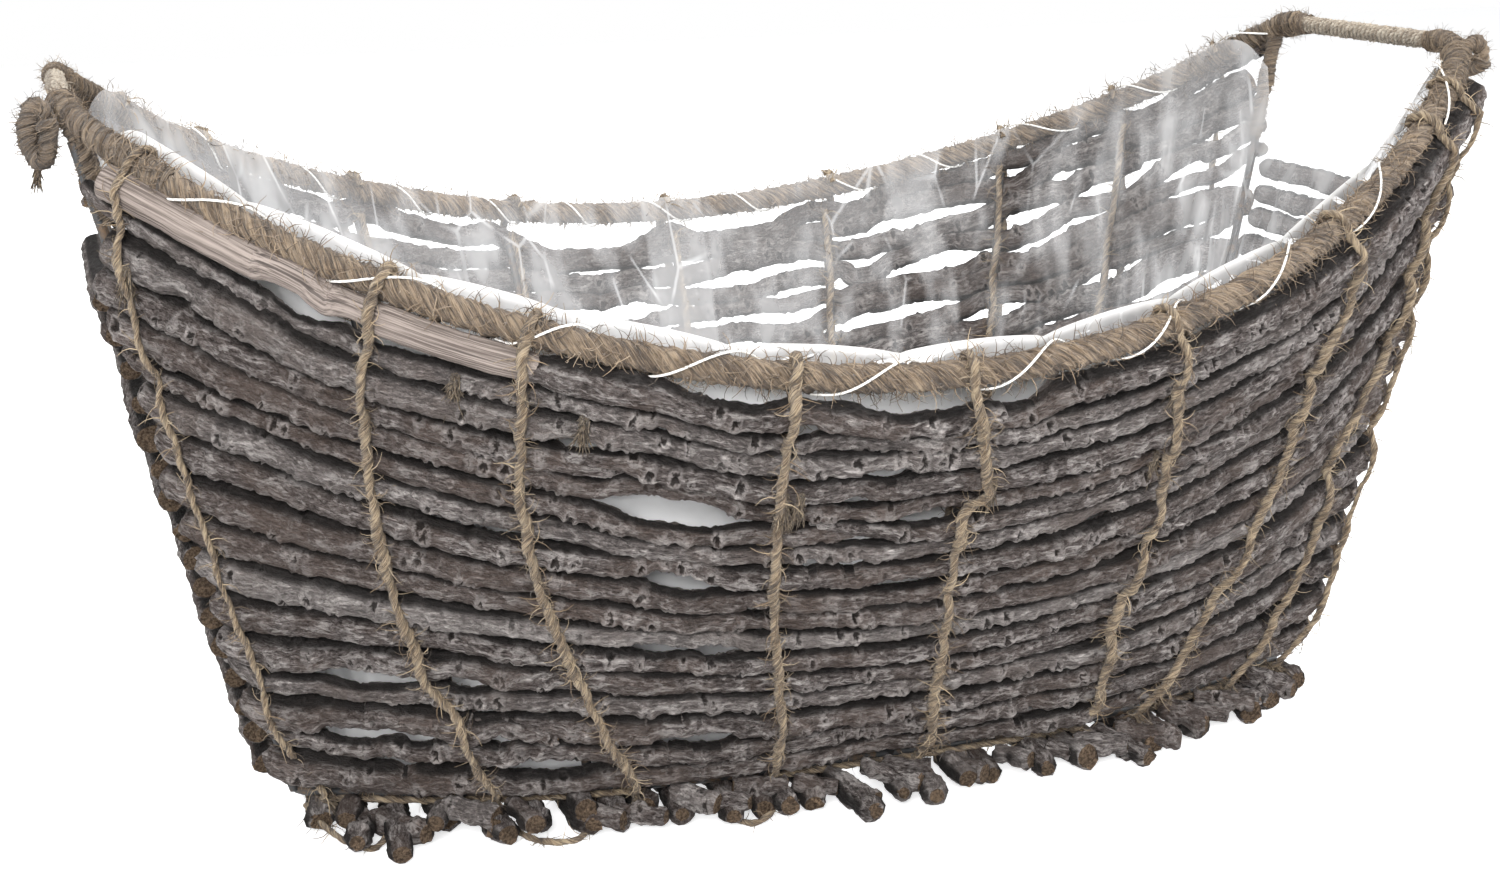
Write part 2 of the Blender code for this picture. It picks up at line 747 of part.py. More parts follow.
def make_liner():
    """Bag of clear film, open at the top and lower at the ends, where the handles are."""
    end_shares = (-0.6, 0, 0.6)
    front = [side_film_column(s, FRONT) for s in (-1, *BENDS, 1)]
    right = [end_film_column(share, 1) for share in end_shares]
    back = [side_film_column(s, BACK) for s in (1, *reversed(BENDS), -1)]
    left = [end_film_column(share, -1) for share in reversed(end_shares)]
    columns = front + right + back + left
    mesh = bpy.data.meshes.new("liner")
    build = bmesh.new()
    grid = [[build.verts.new(point) for point in column] for column in columns]
    for column, following in zip(grid, grid[1:] + grid[:1]):
        for level in range(len(column) - 1):
            build.faces.new((column[level], following[level], following[level + 1], column[level + 1]))
    middle = build.verts.new((0, 0, BASE_STICK + GAP + FILM / 2))
    for column, following in zip(grid, grid[1:] + grid[:1]):
        build.faces.new((following[0], column[0], middle))
    build.to_mesh(mesh)
    build.free()
    item = place(bpy.data.objects.new("liner", mesh), "film")
    wall = item.modifiers.new("film", "SOLIDIFY")
    wall.thickness = FILM
    wall.offset = 0


def stitch_radius():
    return (ROPE / 2 + GAP + THREAD / 2) / math.cos(math.pi / STITCH_POINTS)


def stitch_turns(side):
    """(s, angle) along a thread whipped round the rim wrap. It passes each lashing on the inner side."""
    routes = FRONT_LASHINGS if side == FRONT else BACK_LASHINGS
    clear = (TWINE / 2 + THREAD + 2 * GAP) / RIM_HALF_LENGTH
    reach = 1 - (RIM_BEND + 2 * THREAD) / RIM_HALF_LENGTH
    holds = []
    for rib, route in zip(RIBS[side], routes):
        hook = route[-1][1]
        low = max(min(rib, hook) - clear, -reach)
        high = min(max(rib, hook) + clear, reach)
        holds.append((low, high))
    step = STITCH_STEP / RIM_HALF_LENGTH
    angle = math.pi
    turns = [(holds[0][0], angle)]
    for (_, leave), (arrive, _) in zip(holds, holds[1:]):
        count = max(round((arrive - leave) / step), 1) * STITCH_POINTS
        for i in range(count + 1):
            turn = 2 * math.pi * i / STITCH_POINTS
            turns.append((leave + (arrive - leave) * i / count, angle + turn))
        angle += 2 * math.pi * count / STITCH_POINTS
    turns.append((holds[-1][1], angle))
    return turns


def make_stitches():
    """White thread whipped round the rim wrap, which holds the top of the lining."""
    radius = stitch_radius()
    for side, name in SIDE_NAMES.items():
        points = [around_rim(s, side, angle, radius) for s, angle in stitch_turns(side)]
        gap = least_self_gap(points, THREAD, STITCH_POINTS - 1)
        turns = (stitch_turns(side)[-1][1] - math.pi) / (2 * math.pi)
        print(f"{name} stitching: {turns:.0f} turns, least gap to itself {gap * 1000:.2f} mm")
        tube(f"{name}_stitching", [even(points, THREAD)], "thread", THREAD, sides_level=0)


make_frame()
make_rows(FRONT, FRONT_SPLICES)
make_rows(BACK, {})
make_end_panel(-1, "left")
make_end_panel(1, "right")
make_base_mat()
make_rim_wraps()
make_corner_lashings()
make_handle_windings()
make_side_lashings()
make_liner()
make_stitches()
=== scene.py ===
# %% [markdown]
# # A planter basket of bark sticks, wire, jute and clear film
# The basket is a boat-shaped cage of wire. Natural sticks with their bark on are laid along its two
# sides and across its ends and base, and jute twine ties them to the cage. Twisted jute rope hides the
# rim wire, a bag of clear film lines the inside, and white thread whips the film to the rim.
# The imported frame gives every size and place. Each visible piece here takes the place of one plain
# piece of the frame.

# %% Load the frame
import math
import random

import bpy
from mathutils import Matrix, Vector, noise
from mathutils.bvhtree import BVHTree


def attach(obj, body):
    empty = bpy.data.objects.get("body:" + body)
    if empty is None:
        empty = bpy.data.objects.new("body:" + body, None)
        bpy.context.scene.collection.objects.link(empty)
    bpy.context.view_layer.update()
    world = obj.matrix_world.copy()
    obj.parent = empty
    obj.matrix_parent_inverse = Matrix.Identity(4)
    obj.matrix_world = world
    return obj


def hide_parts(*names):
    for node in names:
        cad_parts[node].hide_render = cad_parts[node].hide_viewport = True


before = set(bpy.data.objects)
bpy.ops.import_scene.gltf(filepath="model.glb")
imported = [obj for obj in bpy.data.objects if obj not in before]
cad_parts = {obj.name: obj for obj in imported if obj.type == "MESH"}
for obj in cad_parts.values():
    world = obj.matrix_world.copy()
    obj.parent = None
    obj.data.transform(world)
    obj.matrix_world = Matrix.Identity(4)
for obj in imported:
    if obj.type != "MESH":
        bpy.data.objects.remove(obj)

for name in ("Cube", "Camera", "Light"):
    if name in bpy.data.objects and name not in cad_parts:
        bpy.data.objects.remove(bpy.data.objects[name], do_unlink=True)
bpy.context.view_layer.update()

# %% [markdown]
# ## Camera, floor and light
# The camera looks down a little from the front left, where a buyer would stand. It could be aimed with
# a constraint, but three plain direction vectors say exactly how it is turned, with no later surprise.

# %% Camera
EYE = Vector((-0.25863, -0.77171, 0.32540))
VIEW_RIGHT = Vector((0.95078, -0.30955, -0.01390))
VIEW_UP = Vector((0.09349, 0.24381, 0.96530))
VIEW_AHEAD = Vector((0.29542, 0.91909, -0.26075))
FOCAL_MM = 52.93

camera = bpy.data.objects.new("camera", bpy.data.cameras.new("camera"))
camera.data.lens = FOCAL_MM
camera.data.sensor_width = 36
turn = Matrix((VIEW_RIGHT, VIEW_UP, -VIEW_AHEAD)).transposed().to_4x4()
camera.matrix_world = Matrix.Translation(EYE) @ turn
bpy.context.scene.collection.objects.link(camera)
bpy.context.scene.camera = camera
bpy.context.scene.view_settings.view_transform = "Standard"
print("camera at", tuple(round(value, 3) for value in EYE))

# %% [markdown]
# A material is a small graph of nodes. This helper adds one node, sets its options and fills its
# sockets, with a plain value or with the output of another node, so that each graph below stays short.

# %% Helpers for node trees
def add(tree, kind, inputs=None, **settings):
    """Add a node, set its options, and fill its sockets with values or with other nodes' outputs."""
    node = tree.nodes.new(kind)
    for key, value in settings.items():
        setattr(node, key, value)
    for key, value in (inputs or {}).items():
        socket = node.inputs[key]
        if isinstance(value, bpy.types.Node):
            value = value.outputs[0]
        if isinstance(value, bpy.types.NodeSocket):
            tree.links.new(value, socket)
        else:
            socket.default_value = value
    return node


def calc(tree, operation, *values):
    """A Math node on one to three values."""
    return add(tree, "ShaderNodeMath", dict(enumerate(values)), operation=operation)


def minus(tree, first, second):
    return calc(tree, "SUBTRACT", first, second)


def plus(tree, total, *others):
    """Add values one after another."""
    for other in others:
        total = calc(tree, "ADD", total, other)
    return total


def times(tree, product, *others):
    """Multiply values one after another."""
    for other in others:
        product = calc(tree, "MULTIPLY", product, other)
    return product


def vector(tree, operation, first, second):
    """A Vector Math node. A SCALE takes a number as its second value."""
    second_key = "Scale" if operation == "SCALE" else 1
    return add(tree, "ShaderNodeVectorMath", {0: first, second_key: second}, operation=operation)


def stretch(tree, pattern, scale):
    """Scale a pattern's coordinates differently along each axis."""
    return vector(tree, "MULTIPLY", pattern, scale)


def remap(tree, value, low, high, to_low=0.0, to_high=1.0):
    """A Map Range node that eases between two marks and clamps beyond them."""
    inputs = {"Value": value, "From Min": low, "From Max": high, "To Min": to_low, "To Max": to_high}
    return add(tree, "ShaderNodeMapRange", inputs, interpolation_type="SMOOTHSTEP")


def cloud(tree, place, scale, detail=3.0, roughness=0.55, distortion=0.0):
    """A Noise Texture, whose first output lies around 0.5."""
    inputs = {"Vector": place, "Scale": scale, "Detail": detail, "Roughness": roughness,
              "Distortion": distortion}
    return add(tree, "ShaderNodeTexNoise", inputs)


def paint(tree, colour, *coats):
    """Lay coats over a colour, each a share from 0 to 1 and its own colour."""
    for share, coat in coats:
        node = add(tree, "ShaderNodeMix", {"Factor": share}, data_type="RGBA")
        for socket, value in ((node.inputs[6], colour), (node.inputs[7], coat)):
            if isinstance(value, tuple):
                socket.default_value = (*value, 1.0)
            else:
                tree.links.new(value, socket)
        colour = node.outputs[2]
    return colour


# %% Helpers for materials
def new_material(name):
    """An empty material with a Principled shader; returns it, its tree and the shader."""
    material = bpy.data.materials.new(name)
    material.use_nodes = True
    tree = material.node_tree
    return material, tree, tree.nodes["Principled BSDF"]


def bump(tree, height, distance, strength=1.0):
    return add(tree, "ShaderNodeBump", {"Height": height, "Distance": distance, "Strength": strength})


def dress(tree, shader, colour, relief, **plain):
    """Connect a finish's colour and relief, and set on the shader what is the same all over."""
    tree.links.new(colour, shader.inputs["Base Color"])
    tree.links.new(relief.outputs[0], shader.inputs["Normal"])
    for name, value in plain.items():
        shader.inputs[name.replace("_", " ")].default_value = value


def kept_vector(tree, name="grain"):
    """A vector that the piece's mesh carries under this name."""
    return add(tree, "ShaderNodeAttribute", attribute_name=name).outputs["Vector"]


def kept_number(tree, name):
    """A number that the piece's mesh carries under this name."""
    return add(tree, "ShaderNodeAttribute", attribute_name=name).outputs["Fac"]


# %% [markdown]
# The floor is a plain white sheet, and the backdrop is white too. More light would burn out the basket
# as well, so the white is made in the materials: Light Path tells a camera ray from a light ray, and
# only what the camera sees is lifted to white. The basket's soft shadow still shows on the sheet.

# %% Floor and backdrop
FLOOR_HALF = 3.0
FLOOR_LIFT = 0.66
SOFT_LIGHT = 0.33


def seen_by_eye(tree):
    """1 for rays from the camera, straight, mirrored or through glass, and 0 for light rays."""
    path = add(tree, "ShaderNodeLightPath")
    seen = calc(tree, "MAXIMUM", path.outputs["Is Camera Ray"], path.outputs["Is Glossy Ray"])
    return calc(tree, "MAXIMUM", seen, path.outputs["Is Transmission Ray"])


def make_floor():
    mesh = bpy.data.meshes.new("floor")
    corners = [(x * FLOOR_HALF, y * FLOOR_HALF, 0) for x, y in ((-1, -1), (1, -1), (1, 1), (-1, 1))]
    mesh.from_pydata(corners, [], [(0, 1, 2, 3)])
    floor = bpy.data.objects.new("floor", mesh)
    bpy.context.scene.collection.objects.link(floor)
    material, tree, shader = new_material("floor_sheet")
    shader.inputs["Base Color"].default_value = (0.80, 0.80, 0.80, 1.0)
    shader.inputs["Roughness"].default_value = 0.9
    shader.inputs["Specular IOR Level"].default_value = 0.1
    shader.inputs["Emission Color"].default_value = (1.0, 1.0, 1.0, 1.0)
    lifted = times(tree, seen_by_eye(tree), FLOOR_LIFT)
    tree.links.new(lifted.outputs[0], shader.inputs["Emission Strength"])
    mesh.materials.append(material)


def make_world():
    world = bpy.data.worlds.new("studio")
    bpy.context.scene.world = world
    world.use_nodes = True
    tree = world.node_tree
    tree.nodes.clear()
    soft = add(tree, "ShaderNodeBackground", {"Color": (0.96, 0.98, 1.0, 1.0), "Strength": SOFT_LIGHT})
    white = add(tree, "ShaderNodeBackground", {"Color": (1.0, 1.0, 1.0, 1.0), "Strength": 1.0})
    choice = add(tree, "ShaderNodeMixShader", {0: seen_by_eye(tree), 1: soft, 2: white})
    add(tree, "ShaderNodeOutputWorld", {"Surface": choice})


make_floor()
make_world()
print("floor", 2 * FLOOR_HALF, "m wide")

# %% [markdown]
# Four large soft lamps stand round the basket: a key from the front left, a weaker fill from the right,
# one above and one behind. Large lamps give the soft shadows between the sticks. A lamp points along
# its own -Z, so it is turned until that axis runs to the basket's middle.

# %% Lamps
LAMPS = {
    "key_softbox": ((-0.7, -1.5, 0.95), 0.8, 44),
    "top_softbox": ((0.1, -0.1, 1.9), 1.2, 26),
    "fill_softbox": ((1.5, -1.0, 0.7), 0.9, 24),
    "back_softbox": ((0.3, 1.5, 1.3), 1.4, 24),
}
BASKET_MIDDLE = Vector((0.0, 0.0, 0.12))
for name, (place, size, watts) in LAMPS.items():
    lamp = bpy.data.lights.new(name, "AREA")
    lamp.size = size
    lamp.energy = watts
    item = bpy.data.objects.new(name, lamp)
    item.location = place
    item.rotation_euler = (BASKET_MIDDLE - Vector(place)).to_track_quat("-Z", "Y").to_euler()
    bpy.context.scene.collection.objects.link(item)
print(len(LAMPS), "lamps,", sum(watts for _, _, watts in LAMPS.values()), "W")

# %% [markdown]
# ## The basket's shape
# Every piece lies on one form. In plan the base and the rim are two curves that narrow towards the
# handles, and the rim also sweeps up, like a boat's sheer line. Straight wires join the two curves, so
# the wall between them is a ruled surface: a place on it needs only its share of the length, s, from
# -1 to 1, and its share of the slope, from 0 at the base ring to 1 at the rim.

# %% Form of the walls
FRONT, BACK = -1, 1
LEFT, RIGHT = -1, 1
SIDE_NAMES = {FRONT: "front", BACK: "back"}
END_NAMES = {LEFT: "left", RIGHT: "right"}
BASE_HALF_LENGTH, RIM_HALF_LENGTH = 0.194, 0.250
BASE_HALF_WIDTH, BASE_END_HALF_WIDTH, BASE_POWER = 0.0885, 0.048, 2.6
RIM_HALF_WIDTH, HANDLE_HALF_WIDTH = 0.1688, 0.0648
RIM_HEIGHT, HANDLE_HEIGHT = 0.1695, 0.2509
RING_Z = 0.0118
RIM_WIRE, RING_WIRE, RIB_WIRE = 0.0038, 0.0040, 0.0035


def base_at(s, side):
    """Centre of the base ring."""
    y = BASE_HALF_WIDTH + (BASE_END_HALF_WIDTH - BASE_HALF_WIDTH) * abs(s) ** BASE_POWER
    return Vector((BASE_HALF_LENGTH * s, side * y, RING_Z))


def rim_at(s, side):
    """Centre of the rim wire."""
    y = RIM_HALF_WIDTH + (HANDLE_HALF_WIDTH - RIM_HALF_WIDTH) * (0.9 * s**2 + 0.1 * s**4)
    rise = 0.96 * s**2 - 0.24 * s**4 + 0.28 * s**6
    return Vector((RIM_HALF_LENGTH * s, side * y, RIM_HEIGHT + (HANDLE_HEIGHT - RIM_HEIGHT) * rise))


def slope_at(s, side):
    """From the base ring up to the rim."""
    return rim_at(s, side) - base_at(s, side)


def along_wall(s, share, side):
    """Unit vector that runs along the wall towards the right."""
    step = 0.002
    low = base_at(s + step, side) - base_at(s - step, side)
    high = rim_at(s + step, side) - rim_at(s - step, side)
    return low.lerp(high, share).normalized()


def out_of_wall(s, share, side):
    """Unit vector square to the wall, pointing out of the basket."""
    return (-side * along_wall(s, share, side).cross(slope_at(s, side))).normalized()


def wall_at(s, share, side, out=0.0):
    """Point of the wall, moved outwards."""
    return base_at(s, side).lerp(rim_at(s, side), share) + out_of_wall(s, share, side) * out


UP_THE_WALL = {side: slope_at(0, side).normalized() for side in SIDE_NAMES}
print("slope at the middle", round(slope_at(0, FRONT).length * 1000, 1), "mm")

# %% Small helpers for places
def clamp(value, low=0.0, high=1.0):
    return min(max(value, low), high)


def steps(first, span, count):
    """Evenly spaced numbers over a span."""
    return [first + span * i / count for i in range(count + 1)]


def rounded(start, corner, finish, count):
    """A soft bend from start to finish, which heads for the corner but cuts it."""
    return [start.lerp(corner, t).lerp(corner.lerp(finish, t), t) for t in steps(0, 1, count)]


def even(points, diameter):
    """A path of one thickness."""
    return points, [diameter / 2] * len(points)


# %% [markdown]
# ## Sweeping a stick, a wire or a strand
# Sticks, wires and twine are all the same kind of thing: a section carried along a path. Curve to Mesh
# in Geometry Nodes does that. The curve's points carry a radius each. Two facts are kept on the way:
# where a point lies round the section and how far along the path. Together they make the attribute
# "grain", a flat map of the stick that its bark pattern follows round every bend.

# %% Start and end of a tree
def start_tree(name, **sockets):
    """A Geometry Nodes tree with named inputs; returns the tree and its inputs."""
    tree = bpy.data.node_groups.new(name, "GeometryNodeTree")
    face = tree.interface
    face.new_socket("Geometry", in_out="INPUT", socket_type="NodeSocketGeometry")
    for label, kind in sockets.items():
        face.new_socket(label, in_out="INPUT", socket_type="NodeSocket" + kind)
    face.new_socket("Geometry", in_out="OUTPUT", socket_type="NodeSocketGeometry")
    return tree, add(tree, "NodeGroupInput").outputs


def end_tree(tree, geometry, material):
    real = add(tree, "GeometryNodeRealizeInstances", {"Geometry": geometry})
    finished = add(tree, "GeometryNodeSetMaterial", {"Geometry": real, "Material": material})
    add(tree, "NodeGroupOutput", {"Geometry": finished})
    return tree


def keep(tree, geometry, kind, **sources):
    """Capture values on a geometry; returns the node, whose outputs have their names."""
    node = add(tree, "GeometryNodeCaptureAttribute", {"Geometry": geometry})
    for label, source in sources.items():
        node.capture_items.new(kind, label)
        tree.links.new(source, node.inputs[label])
    return node


def store(tree, mesh, name, value, kind="FLOAT", domain="POINT"):
    """Write a value on the mesh, where a material can read it by its name."""
    return add(tree, "GeometryNodeStoreNamedAttribute", {"Geometry": mesh, "Name": name, "Value": value},
               data_type=kind, domain=domain)


# %% Sweep a section along a curve
def sweep(tree, ins, tilt=None, shape=None):
    """Carry a round section along the input curve. Returns the mesh and the facts kept on it."""
    path = add(tree, "GeometryNodeResampleCurve", {"Curve": ins[0], "Length": ins["Step"]}, mode="LENGTH")
    path = add(tree, "GeometryNodeSetCurveNormal", {"Curve": path}, mode="MINIMUM_TWIST")
    place = add(tree, "GeometryNodeSplineParameter")
    if tilt:
        angle = tilt(place.outputs["Length"])
        path = add(tree, "GeometryNodeSetCurveTilt", {"Curve": path, "Tilt": angle})
    on_path = keep(tree, path, "FLOAT", along=place.outputs["Length"],
                   radius=add(tree, "GeometryNodeInputRadius").outputs[0],
                   total=add(tree, "GeometryNodeSplineLength").outputs["Length"],
                   spline=add(tree, "GeometryNodeCurveOfPoint").outputs[0])
    on_path.capture_items.new("VECTOR", "run")
    tree.links.new(add(tree, "GeometryNodeInputTangent").outputs[0], on_path.inputs["run"])
    ring = add(tree, "GeometryNodeCurvePrimitiveCircle", {"Resolution": ins["Sides"], "Radius": 1.0})
    ring = keep(tree, ring, "VECTOR", round=add(tree, "GeometryNodeInputPosition").outputs[0])
    section = shape(ring) if shape else ring.outputs["Geometry"]
    mesh = add(tree, "GeometryNodeCurveToMesh", {
        "Curve": on_path.outputs["Geometry"], "Profile Curve": section,
        "Scale": on_path.outputs["radius"], "Fill Caps": True})
    facts = {label: on_path.outputs[label] for label in ("along", "radius", "total", "spline", "run")}
    return mesh, {**facts, "round": ring.outputs["round"]}


# %% Read and move a swept surface
def grain_of(tree, facts, seed):
    """Round the section in metres on x and y, along the path in metres on z, moved on by the seed."""
    flat = vector(tree, "SCALE", facts["round"], facts["radius"])
    start = plus(tree, times(tree, facts["spline"], 0.613), seed)
    along = add(tree, "ShaderNodeCombineXYZ", {"Z": plus(tree, facts["along"], start)})
    return vector(tree, "ADD", flat, along)


def facing(tree, direction):
    """How squarely the surface faces a direction or its opposite, from 0 to 1."""
    turn = vector(tree, "DOT_PRODUCT", add(tree, "GeometryNodeInputNormal"), direction)
    return calc(tree, "ABSOLUTE", turn.outputs["Value"])


def push_out(tree, mesh, amount):
    """Move the surface along its normals by an amount."""
    away = vector(tree, "SCALE", add(tree, "GeometryNodeInputNormal"), amount)
    return add(tree, "GeometryNodeSetPosition", {"Geometry": mesh, "Offset": away})


# %% [markdown]
# ## Bark
# The sticks are the dry stalks that once carried small fruit. Their grey-brown bark has long wrinkles,
# and wherever a fruit sat there is a dark oval scar with a raised pale lip. The wrinkles and scars could
# be painted only, but they show in outline against the white, so the tree below moves the surface, and
# the material reads the same patterns from the same "grain" map, so that colour and relief agree.

# %% Relief of the bark
def wrinkles(tree, grain):
    """Long wrinkles: noise that is stretched along the stick, with sharp creases."""
    soft = cloud(tree, stretch(tree, grain, (360.0, 360.0, 120.0)), 1.0, 4.0, 0.64, 0.9)
    crease = calc(tree, "ABSOLUTE", minus(tree, soft, 0.5))
    return minus(tree, soft, remap(tree, crease, 0.0, 0.05, 0.12, 0.0))


def scars(tree, grain):
    """Distance from the nearest scar, and a number from 0 to 1 for how strong that scar is."""
    drift = stretch(tree, cloud(tree, grain, 520.0, 2.0).outputs["Color"], (0.55, 0.55, 0.55))
    cells = vector(tree, "ADD", stretch(tree, grain, (96.0, 96.0, 165.0)), drift)
    near = add(tree, "ShaderNodeTexVoronoi", {"Vector": cells, "Scale": 1.0, "Randomness": 0.8})
    luck = add(tree, "ShaderNodeSeparateXYZ", {0: near.outputs["Color"]})
    zone = remap(tree, cloud(tree, grain, 11.0, 1.0), 0.38, 0.52, 0.25, 1.0)
    return near.outputs["Distance"], times(tree, remap(tree, luck, 0.20, 0.55), zone)


def swing(tree, pattern, reach):
    """A pattern around 0.5 as a height between -reach and reach."""
    return times(tree, minus(tree, pattern, 0.5), 2.0, reach)


def make_stick_tree():
    tree, ins = start_tree("bark_stick", Step="Float", Sides="Int", Lump="Float", Wrinkle="Float",
                           Scar="Float", Stack="Vector", Seed="Float", Material="Material")
    mesh, facts = sweep(tree, ins)
    grain = grain_of(tree, facts, ins["Seed"])
    mesh = store(tree, mesh, "grain", grain, "FLOAT_VECTOR")
    # Painted shade: how squarely the surface faces the neighbouring sticks, where the bark colour is
    # darkened into the seams.
    mesh = store(tree, mesh, "painted_shade", facing(tree, ins["Stack"]))
    draw = plus(tree, times(tree, facts["spline"], 1.37), ins["Seed"])
    lot = add(tree, "ShaderNodeTexWhiteNoise", {"W": draw}, noise_dimensions="1D")
    mesh = store(tree, mesh, "lot", lot.outputs["Value"])
    lump = swing(tree, cloud(tree, grain, 74.0, 2.0), ins["Lump"])
    wrinkle = swing(tree, wrinkles(tree, grain), ins["Wrinkle"])
    near, strong = scars(tree, grain)
    hollow = remap(tree, near, 0.08, 0.20, -1.0, 0.0)
    lip = minus(tree, remap(tree, near, 0.13, 0.26), remap(tree, near, 0.26, 0.60))
    scar = times(tree, plus(tree, hollow, times(tree, lip, 0.9)), strong, ins["Scar"])
    from_end = calc(tree, "MINIMUM", facts["along"], minus(tree, facts["total"], facts["along"]))
    worn = times(tree, remap(tree, from_end, 0.0, 0.0016, -0.22, 0.0), facts["radius"])
    mesh = push_out(tree, mesh, plus(tree, lump, wrinkle, scar, worn))
    cap = times(tree, calc(tree, "GREATER_THAN", facing(tree, facts["run"]), 0.8),
                calc(tree, "LESS_THAN", from_end, 0.0012))
    mesh = store(tree, mesh, "cut_end", cap, domain="FACE")
    mesh = add(tree, "GeometryNodeSetShadeSmooth", {"Geometry": mesh, "Shade Smooth": minus(tree, 1.0, cap)})
    return end_tree(tree, mesh, ins["Material"])


STICK_TREE = make_stick_tree()
print("stick tree has", len(STICK_TREE.nodes), "nodes")

# %% [markdown]
# The bark's colour is laid on in coats, from a dark ground to pale raised fibres. Each coat has a share
# from a pattern: streaks and blotches first, then warm patches, scars and the pale wood of a cut end. The
# wrinkles' creases show the dark ground, partly the bark's own fissures and partly painted shade. A stick
# is also painted darker where it turns towards its neighbours, as painted shade for the little light that
# comes in between the sticks, and the mesh carries where that is. "lot" gives each stick a tone of its own.

# %% Bark material
BARK_DARK, BARK_MIDDLE = (0.036, 0.026, 0.023), (0.200, 0.166, 0.155)
BARK_PALE, BARK_WARM = (0.660, 0.605, 0.580), (0.170, 0.122, 0.100)
CUT_DARK, CUT_PALE = (0.14, 0.090, 0.058), (0.40, 0.275, 0.175)
# The second colour on the next line is painted shade: near black, for the seams between the sticks.
PIT_BROWN, SEAM_SHADE = (0.018, 0.013, 0.011), (0.012, 0.009, 0.008)


def make_bark():
    material, tree, shader = new_material("grey_bark")
    grain = kept_vector(tree)
    near, strong = scars(tree, grain)
    streak = cloud(tree, stretch(tree, grain, (1050.0, 1050.0, 430.0)), 1.0, 5.0, 0.70, 0.3)
    blotch = cloud(tree, grain, 210.0, 3.0, 0.6)
    patch = cloud(tree, grain, 26.0, 3.0, 0.6)
    # The wrinkles set the colour as well as the relief: their creases darken it, partly as the bark's own
    # fissures and partly as painted shade.
    shade = plus(tree, times(tree, wrinkles(tree, grain), 0.45), times(tree, streak, 0.38),
                 times(tree, blotch, 0.17))
    lip = minus(tree, remap(tree, near, 0.17, 0.26), remap(tree, near, 0.28, 0.45))
    pit = remap(tree, near, 0.23, 0.13)
    lot = kept_number(tree, "lot")
    rings = cloud(tree, grain, 900.0, 3.0)
    wood = paint(tree, CUT_DARK, (remap(tree, rings, 0.35, 0.65), CUT_PALE))
    colour = paint(tree, BARK_DARK,
                   (remap(tree, shade, 0.385, 0.480), BARK_MIDDLE),
                   (remap(tree, shade, 0.455, 0.600), BARK_PALE),
                   (remap(tree, patch, 0.46, 0.62, 0.0, 0.55), BARK_WARM),
                   (remap(tree, lot, 0.55, 1.0, 0.0, 0.35), BARK_PALE),
                   (remap(tree, lot, 0.45, 0.0, 0.0, 0.40), BARK_WARM),
                   (times(tree, lip, strong, 0.40), BARK_PALE),
                   (times(tree, pit, strong, 0.88), PIT_BROWN),
                   (kept_number(tree, "cut_end"), wood),
                   # Painted shade in the seams where a stick turns towards its neighbours.
                   (remap(tree, kept_number(tree, "painted_shade"), 0.64, 0.94, 0.0, 0.92), SEAM_SHADE))
    relief = bump(tree, shade, 0.0045)
    tree.links.new(bump(tree, streak, 0.0016, 0.8).outputs[0], relief.inputs["Normal"])
    dress(tree, shader, colour, relief, Roughness=0.86, Specular_IOR_Level=0.25)
    return material


BARK = make_bark()
print("bark has", len(BARK.node_tree.nodes), "nodes")

# %% [markdown]
# Along the front's left end the top stick has lost its bark. Weathered wood has long straight grain and a
# few fine cracks, so its noise is stretched much further along the stick than the bark's is.

# %% Bare wood
def make_bare_wood():
    material, tree, shader = new_material("bare_wood")
    grain = kept_vector(tree)
    fibre = cloud(tree, stretch(tree, grain, (1500.0, 1500.0, 26.0)), 1.0, 5.0, 0.65)
    split = cloud(tree, stretch(tree, grain, (620.0, 620.0, 14.0)), 1.0, 2.0)
    crack = times(tree, remap(tree, split, 0.40, 0.33), 0.8)
    colour = paint(tree, (0.080, 0.061, 0.052), (remap(tree, fibre, 0.36, 0.62), (0.290, 0.243, 0.215)),
                   (crack, (0.035, 0.026, 0.022)))
    dress(tree, shader, colour, bump(tree, fibre, 0.0010, 0.6), Roughness=0.8)
    return material


BARE_WOOD = make_bare_wood()
print("bare wood has", len(BARE_WOOD.node_tree.nodes), "nodes")

# %% [markdown]
# A piece is made in three steps: its paths become a curve object with a radius at each point, the tree
# runs on it as a modifier, and the result is kept as a plain mesh. The plain mesh then rides on the
# basket's one body and takes the place of its node.

# %% Make a piece from paths
def paths_curve(name, paths):
    """A curve object with one straight-pointed spline for each (points, radii) path."""
    curve = bpy.data.curves.new(name, "CURVE")
    curve.dimensions = "3D"
    for points, radii in paths:
        spline = curve.splines.new("POLY")
        spline.points.add(len(points) - 1)
        for target, point, radius in zip(spline.points, points, radii):
            target.co = (*point, 1)
            target.radius = radius
    item = bpy.data.objects.new(name, curve)
    bpy.context.scene.collection.objects.link(item)
    return item


def settle(item, slot, *nodes):
    """Fix a finished piece to the basket and let it stand for nodes of the frame."""
    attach(item, "root")
    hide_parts(*nodes)
    print(item.name, sum(len(face.vertices) - 2 for face in item.data.polygons), "triangles")
    return item


